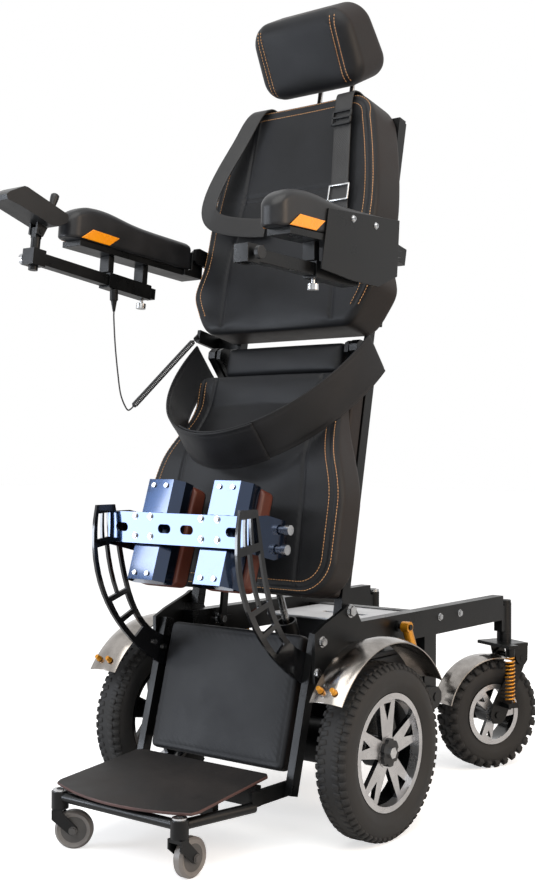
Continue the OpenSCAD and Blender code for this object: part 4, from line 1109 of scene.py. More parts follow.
    def swell(self, obj: Obj, on_front: Array) -> None:
        """Blow the front up with a cloth simulation between the sewn lines.

        Args:
            obj: The plain pad.
            on_front: Truth for each point on the front.
        """
        rest = coordinates(obj)
        held = self.held_points(self.axes.local(rest), on_front)
        group = obj.vertex_groups.new(name="held")
        for weight in np.unique(held):
            group.add(np.nonzero(held == weight)[0].tolist(), float(weight), "REPLACE")
        activate(obj)
        cloth = obj.modifiers.new("Cloth", "CLOTH")
        for name, value in CLOTH.items():
            setattr(cloth.settings, name, value)
        cloth.settings.effector_weights.gravity = 0
        cloth.collision_settings.use_collision = False
        for step in range(1, CLOTH_FRAMES + 1):
            bpy.context.scene.frame_set(step)
        bpy.ops.object.modifier_apply(modifier=cloth.name)
        bpy.context.scene.frame_set(1)
        obj.vertex_groups.clear()
        moved = coordinates(obj) - rest
        length = np.linalg.norm(moved, axis=1, keepdims=True)
        cap = self.puff * MM
        move_points(obj, rest + moved * cap * np.tanh(length / cap) / np.maximum(length, 1e-9))

    def sew(self, obj: Obj) -> None:
        """Draw the front in along the seams, with small puckers beside them.

        Args:
            obj: The swollen pad.
        """
        points = coordinates(obj)
        local = self.axes.local(points)
        facing = normals(obj) @ np.array(self.axes.back) < -0.2
        for seam in self.seams:
            d = near_path(local[:, [0, 2]], seam.path)
            run = local[:, 0] + local[:, 2]
            pucker = self.wrinkle * np.sin(run * 0.42) * np.exp(-((d - 9) / 7) ** 2)
            local[:, 1] += np.where(facing, seam.depth * np.exp(-((d / seam.width) ** 2)) + pucker, 0)
        move_points(obj, self.axes.points(local))

    def stitch(self, obj: Obj) -> None:
        """Sew rows of thread on the front of the finished pad.

        Args:
            obj: The finished pad.
        """
        if not self.rows:
            return
        tree = BVHTree.FromObject(obj, bpy.context.evaluated_depsgraph_get())
        thread = Thread()
        for path in self.rows:
            places, sides = [], []
            for x, z in even_path(path, thread.pitch):
                start = self.axes.point(x, self.front(z) - RAY_START, z)
                hit, normal, _, _ = tree.ray_cast(start, self.axes.back)
                if hit is not None and normal.dot(-self.axes.back) > 0.15:
                    places.append(hit)
                    sides.append(normal)
            thread.row(places, sides)
        place_piece(thread.build(f"{self.name}_stitches"), self.body, Slot.LEATHER)

    def build(self) -> None:
        """Make the pad with its seams and stitches; the sides take the second finish."""
        obj, on_front = self.grid()
        if self.puff:
            self.swell(obj, on_front)
        soften(obj)
        self.sew(obj)
        dress(obj, *self.finishes)
        # The sides take the second finish; on the leather pads it is painted warm reflected light.
        if len(self.finishes) > 1:
            facing = np.array([p.normal for p in obj.data.polygons], float) @ -np.array(self.axes.back, float)
            set_finishes(obj, facing < 0.25)
        shade(obj, 180)
        place_piece(obj, self.body, Slot.LEATHER, self.node)
        self.stitch(obj)


@dataclass
class Thread:
    """Rows of single stitches, gathered into one piece; lengths are millimetres."""

    pitch: float = 6.5
    length: float = 4.8
    thick: float = 1.3
    points: list[Array] = field(default_factory=list)
    faces: list[tuple[int, ...]] = field(default_factory=list)

    def row(self, places: Sequence[Vector], sides: Sequence[Vector]) -> None:
        """Add one stitch between each two places along a row.

        Args:
            places: Points on the leather, in metres.
            sides: Normals of the leather there.
        """
        for a, b, normal in zip(places, places[1:], sides):
            run = b - a
            if run.length < 1e-5 or run.length > 2.5 * self.pitch * MM:
                continue
            self.add((a + b) / 2, run.normalized(), normal)

    def add(self, middle: Vector, along: Vector, out: Vector) -> None:
        """Add one stitch.

        Args:
            middle: Its place on the leather.
            along: Direction of the row.
            out: Normal of the leather.
        """
        across = along.cross(out).normalized()
        ring = []
        for end, reach in ((-1, 0.35), (-0.55, 1.0), (0.55, 1.0), (1, 0.35)):
            for k in range(6):
                turn = math.pi * k / 3
                side = 0.5 * self.thick * reach
                ring.append(middle + MM * (0.5 * self.length * end * along + side * math.cos(turn) * across
                                           + (side * math.sin(turn) + 0.25 * self.thick) * out))
        self.faces += ring_faces(4, 6, sum(len(p) for p in self.points))
        self.points.append(np.array(ring))

    def build(self, name: str) -> Obj:
        """Make one piece of all rows.

        Args:
            name: Name of the piece.

        Returns:
            The piece.
        """
        obj = mesh_piece(name, np.vstack(self.points), self.faces)
        close_seams(obj)
        dress(obj, THREAD)
        shade(obj, 60)
        return obj


# Shapes made by turning, sweeping and spinning


def lathe(name: str, profile: Sequence[tuple[float, float]], steps: int, closed: bool = True) -> Obj:
    """Spin a profile about the x axis at the origin.

    Args:
        name: Name of the piece.
        profile: Places along the axis and radii, in millimetres.
        steps: Steps of the full turn.
        closed: Whether the profile is a closed loop; an open one starts and ends on the axis.

    Returns:
        The turned piece.
    """
    count = len(profile)
    edges = [(k, (k + 1) % count) for k in range(count if closed else count - 1)]
    obj = mesh_piece(name, [(MM * a, 0, MM * r) for a, r in profile], [], edges)
    spin_mesh(obj, steps, lambda: bpy.ops.mesh.dissolve_degenerate(threshold=MERGE))
    return obj


def block(name: str, size: Point, place: Point, taper: float = 1.0, turn: float = 0.0) -> Obj:
    """Make a block that tapers upwards, in millimetres of the origin's axes.

    Args:
        name: Name of the piece.
        size: Its lengths.
        place: Its middle.
        taper: Share of the bottom's size that the top has.
        turn: Turn about z, in degrees.

    Returns:
        The block.
    """
    bpy.ops.mesh.primitive_cube_add(size=1)
    obj = named(name)
    obj.scale = [MM * s for s in size]
    obj.rotation_euler.z = math.radians(turn)
    obj.location = [MM * p for p in place]
    settle(obj)
    if taper != 1.0:
        middle = MM * Vector(place)
        for vertex in obj.data.vertices:
            if vertex.co.z > middle.z:
                vertex.co.xy = middle.xy + taper * (vertex.co.xy - middle.xy)
    return obj


def spin_mesh(obj: Obj, steps: int, *clean: Callable[[], object], copies: bool = False) -> None:
    """Spin a mesh round the x axis at the origin.

    Args:
        obj: The object with the mesh.
        steps: Steps of the full turn.
        clean: Steps that clean the spun mesh.
        copies: Whether the mesh is repeated instead of swept.
    """
    in_edit_mode(
        obj,
        lambda: bpy.ops.mesh.spin(steps=steps, dupli=copies, angle=2 * math.pi, center=(0, 0, 0), axis=(1, 0, 0)),
        select_all,
        lambda: bpy.ops.mesh.remove_doubles(threshold=2 * MERGE),
        *clean,
        face_out,
    )


def put(obj: Obj, place: Vector, turn: Matrix | None = None) -> Obj:
    """Turn a piece made at the origin and put it in its place.

    Args:
        obj: The piece.
        place: Its place, in metres.
        turn: How it is turned.

    Returns:
        The piece.
    """
    obj.matrix_world = Matrix.Translation(place) @ (turn.to_4x4() if turn else Matrix())
    settle(obj)
    return obj


def towards(out: Vector) -> Matrix:
    """Give the turn that brings the x axis to a direction."""
    return X_AXIS.rotation_difference(out).to_matrix()


def ring_faces(rings: int, sides: int, base: int = 0) -> list[tuple[int, ...]]:
    """Give the faces of a closed tube.

    Args:
        rings: Rings of points along the tube.
        sides: Points of each ring.
        base: Number of the first point.

    Returns:
        The faces of its wall and its two ends.
    """
    faces: list[tuple[int, ...]] = []
    for k in range(rings - 1):
        for j in range(sides):
            a, b = base + k * sides + j, base + k * sides + (j + 1) % sides
            faces.append((a, b, b + sides, a + sides))
    faces.append(tuple(base + j for j in reversed(range(sides))))
    faces.append(tuple(base + (rings - 1) * sides + j for j in range(sides)))
    return faces


def sweep(name: str, path: Array, radius: float, sides: int = 10) -> Obj:
    """Make a round tube along a path.

    Args:
        name: Name of the piece.
        path: Rows of points in metres.
        radius: Radius in metres.
        sides: Sides of the tube.

    Returns:
        The closed tube.
    """
    along = unit(np.gradient(path, axis=0))
    side = unit(np.cross(along[0], [0.3, 0.5, 0.8]))
    points, turn = [], np.arange(sides) * 2 * math.pi / sides
    for place, heading in zip(path, along):
        side = unit(side - (side @ heading) * heading)
        up = np.cross(heading, side)
        points.append(place + radius * (np.cos(turn)[:, None] * side + np.sin(turn)[:, None] * up))
    obj = mesh_piece(name, np.vstack(points), ring_faces(len(path), sides))
    close_seams(obj)
    return obj


@dataclass
class Band:
    """A flat band of cloth or leather along a path, in metres.

    Path and sides are rows of points and of directions out of the band's face.
    """

    name: str
    path: Array
    out: Array
    width: float
    thick: float
    cells: int = 8
    sag: Callable[[Array, Array], Array] | None = None

    @property
    def length(self) -> float:
        """Give the band's length."""
        return float(run_of(self.path)[-1])

    def build(self) -> Obj:
        """Make the band with its UV map in metres along and across it.

        Returns:
            The band.
        """
        along = unit(np.gradient(self.path, axis=0))
        out = unit(self.out - (self.out * along).sum(axis=1, keepdims=True) * along)
        across = np.cross(along, out)
        rows, columns = len(self.path), self.cells + 1
        v = np.linspace(-0.5, 0.5, columns)
        run = run_of(self.path)
        places = self.path[:, None] + self.width * v[None, :, None] * across[:, None]
        if self.sag:
            places = places + self.sag(run[:, None] / run[-1], v[None, :])[..., None] * out[:, None]
        sheets = [places + side * self.thick / 2 * out[:, None] for side in (1, -1)]
        points = np.concatenate([s.reshape(-1, 3) for s in sheets])
        faces, half = [], rows * columns
        for i in range(rows - 1):
            for j in range(columns - 1):
                a = i * columns + j
                faces.append((a, a + 1, a + columns + 1, a + columns))
                faces.append((half + a, half + a + columns, half + a + columns + 1, half + a + 1))
        rim = [i * columns for i in range(rows)] + [(rows - 1) * columns + j for j in range(1, columns)]
        rim += [i * columns + columns - 1 for i in range(rows - 2, -1, -1)] + list(range(columns - 2, 0, -1))
        faces += [(a, b, half + b, half + a) for a, b in zip(rim, rim[1:] + rim[:1])]
        obj = mesh_piece(self.name, points, faces)
        flat = np.stack(np.broadcast_arrays(run[:, None], self.width * v[None, :]), axis=-1).reshape(-1, 2)
        layer = obj.data.uv_layers.new(name="band")
        for loop in obj.data.loops:
            layer.data[loop.index].uv = flat[loop.vertex_index % half]
        close_seams(obj)
        round_edges(obj, 300 * self.thick, 2, 50)
        shade(obj, 50)
        return obj


# Sub-assemblies


@dataclass
class Upholstery:
    """The leather cushions of seat, back, head, calves and knees."""

    seat_low: float = 15.0
    seat_high: float = 486.0
    back_low: float = 40.0
    back_high: float = 570.0
    rows: tuple[float, float] = (8.0, 26.0)
    panel: float = 178.0

    def seat_pad(self) -> Pad:
        """Describe the seat cushion, wide and rounded at the knees.

        Returns:
            The pad.
        """
        low, high = self.seat_low, self.seat_high
        pad = Pad(
            "seat_leather", "seat", "seat_cushion", SEAT, low, high,
            width=lambda z: 262 - 60 * ease((z - 200) / 230),
            front=lambda z: -141 + 49 * ease((z - 280) / 150),
            rear=lambda z: -62.2,
            crown=lambda z: 7.0,
            corners=(76, 24), edge=20, puff=8,
        )
        pad.seams = [Seam(pad.border(17, high - 4, high - 4), 2.4, 4.0)]
        panel = spline([(-self.panel, low + 19), (-self.panel + 6, 200), (-self.panel + 32, high - 8)], 12)
        pad.seams += [Seam(panel * np.array([s, 1]), 3.0, 4.5) for s in (-1, 1)]
        pad.rows = [pad.border(inset, high - 12, high - 12) for inset in self.rows]
        return pad

    def seat_base(self) -> Pad:
        """Describe the narrower lower half of the seat cushion.

        Returns:
            The pad.
        """
        return Pad(
            "seat_base_leather", "seat", "seat_cushion", SEAT, 20, 480,
            width=lambda z: 205.0, front=lambda z: -61.8, rear=lambda z: -15.2, crown=lambda z: 0.0,
            # The whole base takes the leather with painted warm reflected light.
            corners=(14, 14), edge=5, rear_edge=5, puff=0, cell=8, finishes=(LEATHER_PAINTED_WARM_LIGHT,),
        )

    def hip_pad(self) -> Pad:
        """Describe the short pad between seat and back.

        Returns:
            The pad.
        """
        return Pad(
            "hip_leather", "seat", "seat_cushion", SEAT, 494, 562,
            width=lambda z: 160.0, front=lambda z: -56.0, rear=lambda z: -15.0, crown=lambda z: 3.0,
            corners=(10, 10), edge=14, puff=4,
        )

    def back_pad(self) -> Pad:
        """Describe the back cushion, narrower at the shoulders.

        Returns:
            The pad.
        """
        low, high = self.back_low, self.back_high
        pad = Pad(
            "back_leather", "back", "back_cushion", BACK, low, high,
            width=lambda z: (218 + 10 * ease((z - 60) / 80) + 20 * math.exp(-(((z - 130) / 48) ** 2))
                             - 50 * max(0.0, (z - 300) / 270) ** 1.6),
            front=lambda z: -101.0 - 5 * math.exp(-((z - 190) / 110) ** 2),
            rear=lambda z: 2.7,
            crown=lambda z: -7.0 + 5 * math.exp(-((z - 180) / 90) ** 2),
            corners=(46, 60), edge=20, puff=8,
        )
        inner = [(-151, low + 18), (-146, 200), (-134, 357), (-124, high - 20)]
        side = spline(inner, 10)
        pad.seams = [Seam(side * np.array([s, 1]), 3.0, 5.0) for s in (1, -1)]
        pad.seams += [Seam(np.array([(-134, 357), (134, 357)]), 2.4, 4.0),
                      Seam(np.array([(-134, 345), (134, 345)]), 2.0, 4.0),
                      Seam(pad.border(18, low + 40, low + 40, "high"), 2.0, 4.0)]
        pad.rows = [pad.border(inset, low + 40, low + 40, "high") for inset in self.rows]
        return pad

    def head_pad(self) -> Pad:
        """Describe the headrest, which nods forwards.

        Returns:
            The pad.
        """
        pad = Pad(
            "head_leather", "headrest", "headrest_pad", leaning(row(0, 212, 1698), -26), -88, 88,
            width=lambda z: 137 - 6 * (z / 176 + 0.5) ** 2,
            front=lambda z: -83.0, rear=lambda z: 44 - 0.2 * z, crown=lambda z: 4.0,
            corners=(50, 50), edge=34, rear_edge=24, puff=7, cell=5,
        )
        pad.rows = [np.array([(s * x, z) for z in np.linspace(-74, 74, 40)]) for s in (1, -1) for x in (96, 106)]
        pad.seams = [Seam(np.array([(s * 101, -84), (s * 101, 84)]), 2.0, 3.5) for s in (1, -1)]
        return pad

    def calf_pad(self) -> Pad:
        """Describe the pad behind the calves.

        Returns:
            The pad.
        """
        return Pad(
            "calf_leather", "legrest", "calf_pad", LEG, -262, 8,
            width=lambda z: 178.0, front=lambda z: -11.0, rear=lambda z: 20.0, crown=lambda z: 3.0,
            corners=(12, 12), edge=9, rear_edge=4, puff=5,
            seams=[Seam(np.array([(-168, -250), (-168, -2), (168, -2), (168, -250), (-168, -250)]), 0.8, 4.0)],
        )

    def knee_pads(self) -> list[Pad]:
        """Describe the two pads inside the knee shells, whose sides take a reddish-brown painted warm reflection.

        Returns:
            The pads.
        """
        pads = []
        for side in Side:
            axes = leaning(row(side.value * 89, -254.5, 619.5), 18)
            turned = Axes(axes.origin, -axes.right, -axes.back, axes.up)
            pads.append(Pad(
                f"knee_leather_{side.word}", "knee_support", "knee_pads", turned, -104, 104,
                width=lambda z: 60.0, front=lambda z: -91.0, rear=lambda z: -43.0, crown=lambda z: 2.0,
                # The sides take a reddish-brown painted warm reflection.
                corners=(14, 14), edge=20, rear_edge=4, puff=5, cell=5, finishes=(LEATHER, LEATHER_PAINTED_WARM_REFLECTION),
            ))
        return pads

    def build(self) -> None:
        """Make all cushions."""
        for pad in (self.seat_pad(), self.back_pad(), self.head_pad(), self.calf_pad(), self.seat_base(),
                    self.hip_pad(), *self.knee_pads()):
            pad.build()


@dataclass
class Armrests:
    """Moulded armrest pads with amber lamp bands."""

    inner: float = 243.0
    outer: float = 303.0
    nose: float = -330.0
    length: float = 370.0
    bottom: float = 1190.0
    height: float = 62.0
    hinge: tuple[float, float] = (60.0, 1225.0)
    droop: dict[Side, float] = field(default_factory=lambda: {Side.LEFT: 0.0, Side.RIGHT: 5.0})

    def top(self, along: float) -> float:
        """Give the pad's height at a distance behind its nose."""
        return self.height + 12 * math.exp(-(((along - 92) / 80) ** 2))

    def axes(self, side: Side) -> Axes:
        """Give the axes of a pad: x across, -y up and z forwards.

        Args:
            side: The pad's side.

        Returns:
            The axes.
        """
        tilt = math.radians(self.droop[side])
        hinge = row(0, *self.hinge)
        ahead = Vector((0, -math.cos(tilt), math.sin(tilt)))
        up = Vector((0, math.sin(tilt), math.cos(tilt)))
        middle = side.value * (self.inner + self.outer) / 2
        origin = hinge + MM * (Vector((middle, 0, 0)) + (self.hinge[0] - self.nose) * ahead
                               + (self.bottom - self.hinge[1]) * up)
        return Axes(origin, Vector((1, 0, 0)), -up, ahead)

    def pad(self, side: Side) -> Pad:
        """Describe one pad.

        Args:
            side: The pad's side.

        Returns:
            The pad.
        """
        return Pad(
            f"arm_leather_{side.word}", f"armrest_{side.word}", f"armrest_pad_{side.word}", self.axes(side),
            -self.length, 0,
            width=lambda z: 30 - 2.0 * math.exp(-(((z + 4) / 30) ** 2)),
            front=lambda z: -self.top(-z) + 22 * max(0.0, 1 + z / 55) ** 2, rear=lambda z: 0.0,
            crown=lambda z: 3.0, corners=(4, 26), edge=15, rear_edge=6, puff=0, cell=4,
            finishes=(MOULDED, MOULDED), fill=0.9,
        )

    def build(self) -> None:
        """Make both pads and their lamps."""
        for side in Side:
            self.pad(side).build()
            Rigid(f"armrest_lamps_{side.word}", f"armrest_{side.word}", Slot.AMBER, (AMBER,), 1.4, segments=3).build()


@dataclass(frozen=True)
class Tread:
    """The lugs of a tyre: lengths are millimetres or shares of the tyre's width, and angles degrees."""

    count: int
    lug: tuple[float, float, float]
    shift: float
    turn: float
    lean: float
    reach: float
    drop: float


ROAD = Tread(62, (17, 11.5, 2.2), 0.2, 14, 40, 0.74, 0.62)
KNOBBLY = Tread(30, (21, 15, 6), 0.22, 0, 52, 0.86, 0.95)


@dataclass
class Tyre:
    """A tyre with a tread, turned about its axle; lengths are millimetres."""

    kind: str
    side: Side
    turn: float
    diameter: float
    width: float
    rim: float
    tread: Tread

    def carcass(self) -> Obj:
        """Turn the plain tyre: beads, sidewalls and a rounded crown.

        Returns:
            The tyre without its lugs.
        """
        outer, bead = self.diameter / 2 - self.tread.lug[2] + 0.6, self.rim / 2 + 0.4
        half, tall = self.width / 2, outer - bead
        walls = [(0.7, 0), (0.8, 0.06), (0.97, 0.3), (1, 0.48), (0.96, 0.68), (0.8, 0.87)]
        right = [(half * across, bead + up * tall) for across, up in walls]
        curve = spline([*right, (half * 0.45, outer - 0.6), (0, outer)], 4)
        loop = [(x, r) for x, r in curve] + [(-x, r) for x, r in curve[-2::-1]]
        return lathe("carcass", loop, 96)

    def lugs(self) -> list[Obj]:
        """Make the four rings of lugs: two on the crown and two on the shoulders.

        Returns:
            The rings.
        """
        tread, radius = self.tread, self.diameter / 2
        across, along, tall = tread.lug
        rings = []
        for sign, offset in ((-1, 0.0), (1, 0.5)):
            place = (sign * tread.shift * self.width, 0, radius - (tall + 4) / 2)
            lug = block("lug", (across, along, tall + 4), place, 0.86, -sign * tread.turn)
            rings.append(self.ring(lug, offset))
        for sign, offset in ((-1, 0.75), (1, 0.25)):
            lug = block("lug", (across * 0.9, along, tall + 6), (0, 0, 0), 0.86)
            lug.rotation_euler.y = sign * math.radians(tread.lean)
            drop = 0.17 * self.width * tread.drop
            lug.location = MM * Vector((sign * tread.reach * self.width / 2, 0, radius - drop))
            settle(lug)
            rings.append(self.ring(lug, offset))
        return rings

    def ring(self, lug: Obj, share: float) -> Obj:
        """Turn a lug about the axle by a share of the pitch, and repeat it all round.

        Args:
            lug: The first lug.
            share: Share of the pitch.

        Returns:
            The ring of lugs.
        """
        round_edges(lug, 0.8, 1)
        lug.rotation_euler.x = 2 * math.pi * share / self.tread.count
        settle(lug)
        spin_mesh(lug, self.tread.count, copies=True)
        return lug

    def build(self) -> None:
        """Join carcass and tread, and put the tyre on its axle."""
        w = self.side.word
        obj = joined(f"{self.kind}_tread_{w}", [self.carcass(), *self.lugs()])
        close_seams(obj)
        dress(obj, TYRE)
        shade(obj, 45)
        put(obj, PIVOTS[f"{self.kind}_spin_{w}"], Matrix.Rotation(math.radians(self.turn), 3, "Z"))
        place_piece(obj, f"{self.kind}_wheel_{w}", Slot.TYRE, f"{self.kind}_tyre_{w}")

@dataclass
class Wheels:
    """Tyres of the four large wheels, and the small castors; lengths are millimetres."""

    line: tuple[float, float] = (166.0, 30.3)
    line_thick: float = 1.4
    castor_turn: dict[Side, float] = field(default_factory=lambda: {Side.LEFT: 0.0, Side.RIGHT: -52.0})

    def mould_line(self, side: Side) -> None:
        """Lay the yellow line round the outer wall of a drive tyre.

        Args:
            side: The tyre's side.
        """
        radius, out = self.line
        bpy.ops.mesh.primitive_torus_add(major_radius=radius * MM, minor_radius=self.line_thick / 2 * MM,
                                         major_segments=96, minor_segments=6, rotation=(0, math.pi / 2, 0))
        obj = named(f"tyre_line_{side.word}")
        settle(obj)
        put(obj, PIVOTS[f"drive_spin_{side.word}"] + side.value * out * MM * X_AXIS)
        dress(obj, MOULD_LINE)
        shade(obj)
        place_piece(obj, f"drive_wheel_{side.word}", Slot.TYRE)

    def build(self) -> None:
        """Make the tyres, and dress the castors with a grey tread, a darker hub and a steel axle."""
        for side in Side:
            Tyre("drive", side, 0, 355, 76, 236, ROAD).build()
            Tyre("caster", side, CASTER_SWING, 264, 66, 148, KNOBBLY).build()
            self.mould_line(side)
        for side in Side:
            wheel = f"front_wheel_{side.word}"
            axle = AxleLine(PIVOTS[f"front_spin_{side.word}"], level(self.castor_turn[side]))
            Rigid(wheel, wheel, Slot.CASTOR, (CASTOR_TREAD, CASTOR_HUB, STEEL), 3.0, axle.castor, 4).build()


@dataclass
class CasterSpring:
    """A gold coil spring beside a rear caster; lengths are millimetres."""

    side: Side
    diameter: float = 25.0
    wire: float = 4.0
    turns: int = 12
    keep: float = 0.977

    def wind(self, name: str, rise: float) -> Obj:
        """Wind the wire with a screw and close its ends.

        Args:
            name: Name of the piece.
            rise: Height of the coil, in metres.

        Returns:
            The coil, round the z axis at the origin.
        """
        bpy.ops.mesh.primitive_circle_add(vertices=10, radius=self.wire / 2 * MM, fill_type="NGON",
                                          rotation=(math.pi / 2, 0, 0))
        obj = named(name)
        obj.location.x = (self.diameter - self.wire) / 2 * MM
        settle(obj)
        in_edit_mode(obj, lambda: bpy.ops.mesh.delete(type="ONLY_FACE"))
        finish_with(obj, "SCREW", axis="Z", angle=2 * math.pi, screw_offset=rise / self.turns,
                    iterations=self.turns, steps=28, render_steps=28, use_merge_vertices=False)
        in_edit_mode(
            obj,
            merge,
            lambda: bpy.ops.mesh.select_all(action="DESELECT"),
            bpy.ops.mesh.select_non_manifold,
            bpy.ops.mesh.edge_face_add,
            select_all,
            face_out,
        )
        return obj

    def build(self) -> None:
        """Put the coil round its rod, riding on the caster."""
        node = f"caster_spring_{self.side.word}"
        low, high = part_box(node)
        obj = self.wind(f"coil_{self.side.word}", high.z - low.z - self.wire * MM)
        x, y = (low.x + high.x) / 2, (low.y + high.y) / 2
        put(obj, Vector((x, y, low.z + self.wire / 2 * MM)))
        dress(obj, GOLD)
        shade(obj, 60)
        place_piece(obj, f"caster_{self.side.word}", Slot.GOLD, node)
        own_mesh(obj)


@dataclass
class Bolts:
    """Cap bolts that the solids leave out; places are millimetres from the axle."""

    radius: float = 5.6
    height: float = 4.2

    def head(self, place: Point, out: Vector) -> Obj:
        """Turn one domed head with a socket.

        Args:
            place: Middle of its foot.
            out: Direction out of the surface.

        Returns:
            The head.
        """
        r, h = self.radius, self.height
        profile = [(-0.3, 0), (-0.3, r * 1.25), (0.7, r * 1.25), (0.7, r), (h * 0.7, r * 0.96), (h, r * 0.75),
                   (h, r * 0.45), (h * 0.45, r * 0.42), (h * 0.45, 0)]
        obj = lathe("bolt", profile, 20, closed=False)
        return put(obj, row(*place), towards(out))

    def group(self, name: str, body: str, places: Sequence[Point], out: Vector) -> None:
        """Make the bolts of one surface as one piece.

        Args:
            name: Name of the piece.
            body: Body that carries it.
            places: Middles of the feet.
            out: Direction out of the surface.
        """
        obj = joined(name, [self.head(place, out) for place in places])
        dress(obj, STEEL)
        shade(obj, 40)
        place_piece(obj, body, Slot.STEEL)

    def build(self) -> None:
        """Bolt the knee bar and the left side plate."""
        bar = [(x, -278.0, z) for x in (-110, -68, 68, 110) for z in (606, 646)]
        self.group("knee_bar_bolts", "knee_support", bar, Vector((0, -1, 0)))
        plate = [(307.0, y, z) for y, z in ((-103, 1231), (-24, 1228))]
        self.group("side_plate_bolts", "armrest_left", plate, X_AXIS)


@dataclass
class Belts:
    """The wide lap belt and the chest straps."""

    half: float = 238.0
    hip: tuple[float, float] = (-37.0, 538.0)
    drop: tuple[float, float] = (-200.0, -250.0)
    width: float = 95.0
    thick: float = 4.0
    strap_width: float = 44.0
    strap_thick: float = 3.0
    strap: tuple[tuple[float, float, float], ...] = (
        (118, 1, 546), (118, -8, 573), (118, -50, 574), (119, -88, 574), (122, -109, 550), (132, -110, 430),
        (146, -111, 300), (164, -111, 190),
    )
    slack: tuple[tuple[float, float, float], ...] = (
        (124, -114, 546), (150, -124, 480), (182, -132, 410), (202, -135, 356), (203, -136, 318), (182, -135, 294),
        (140, -131, 280), (84, -124, 272), (44, -119, 270),
    )

    def hem(self, run: Array, across: Array) -> Array:
        """Give the groove of the hem and the slack waves of the lap belt.

        Args:
            run: Shares of the length.
            across: Shares of the width, from the middle.

        Returns:
            Heights in metres.
        """
        groove = -0.9 * np.exp(-(((np.abs(across) - 0.43) / 0.025) ** 2))
        wave = 1.6 * np.sin(9 * run + 5 * across) * np.sin(math.pi * run) * (1 - (2 * across) ** 2)
        return MM * (groove + wave)

    def lap_belt(self) -> None:
        """Hang the lap belt in front of the seat, in two halves that overlap."""
        middle = SEAT.points(np.array([[0, self.hip[0], self.hip[1]]]))
        for side, end, lift in ((Side.LEFT, 112, -2.6), (Side.RIGHT, 116, 3.2)):
            turn = np.radians(np.linspace(0, end, 80))
            local = np.stack([side.value * self.half * np.cos(turn), self.hip[0] + self.drop[0] * np.sin(turn),
                              self.hip[1] + self.drop[1] * np.sin(turn)], axis=1)
            path = SEAT.points(local)
            out = unit(path - middle)
            path = path + (MM * lift * np.clip(turn / 0.9, 0, 1))[:, None] * out
            run = np.linspace(0, 1, len(path))
            even = even_path(path, 0.007)
            fine = np.linspace(0, 1, len(even))
            out = unit(np.stack([np.interp(fine, run, out[:, k]) for k in range(3)], axis=1))
            band = Band(f"lap_belt_leather_{side.word}", even, out, self.width * MM, self.thick * MM, 28, self.hem)
            obj = band.build()
            dress(obj, LEATHER)
            place_piece(obj, "seat", Slot.LEATHER, "lap_belt")

    def buckle(self, name: str, along: float, slide: bool) -> None:
        """Make a ring or a slide on the left strap.

        Args:
            name: Name of the piece.
            along: Height on the back, in millimetres.
            slide: Whether it is a black slide instead of a steel ring.
        """
        down = self.strap[:3:-1]
        x = float(np.interp(along, [p[2] for p in down], [p[0] for p in down]))
        high, wide, bar = (30.0, 52.0, 5.0) if slide else (34.0, 54.0, 4.0)
        sizes = [((wide, bar, bar), (0, 0, s * high / 2)) for s in (-1, 1)]
        sizes += [((bar, bar, high + bar), (s * (wide - bar) / 2, 0, 0)) for s in (-1, 1)]
        if slide:
            sizes.append(((wide, bar, bar), (0, 0, 0)))
        parts = [block("bar", size, place) for size, place in sizes]
        for part in parts:
            round_edges(part, 1.2, 2)
        obj = joined(name, parts)
        put(obj, BACK.point(x, -115.5, along), Matrix((BACK.right, BACK.back, BACK.up)).transposed())
        dress(obj, PLASTIC if slide else STEEL)
        shade(obj, 40)
        place_piece(obj, "back", Slot.STEEL)

    def chest_straps(self) -> None:
        """Lay the left strap down the back cushion, and let the right one hang slack beside it."""
        for side in Side:
            route = self.strap if side is Side.LEFT else (*self.strap[:4], *self.slack)
            local = spline(route, 12) * np.array([side.value, 1, 1])
            path = even_path(BACK.points(local), 0.006)
            inner = BACK.local(path)
            inner[:, 1] = -45
            inner[:, 2] = np.minimum(inner[:, 2], 520)
            out = unit(path - BACK.points(inner))
            if side is Side.RIGHT:
                hang = np.clip((560 - BACK.local(path)[:, 2:]) / 60, 0, 1)
                out = unit((1 - hang) * out + hang * np.array(-BACK.back))
            band = Band(f"chest_strap_{side.word}", path, out, self.strap_width * MM, self.strap_thick * MM, 6)
            obj = band.build()
            dress(obj, WEBBING)
            place_piece(obj, "back", Slot.WEBBING, "chest_straps")

    def build(self) -> None:
        """Make the belts."""
        self.lap_belt()
        self.chest_straps()
        self.buckle("strap_ring", 330, False)
        self.buckle("strap_slide", 505, True)


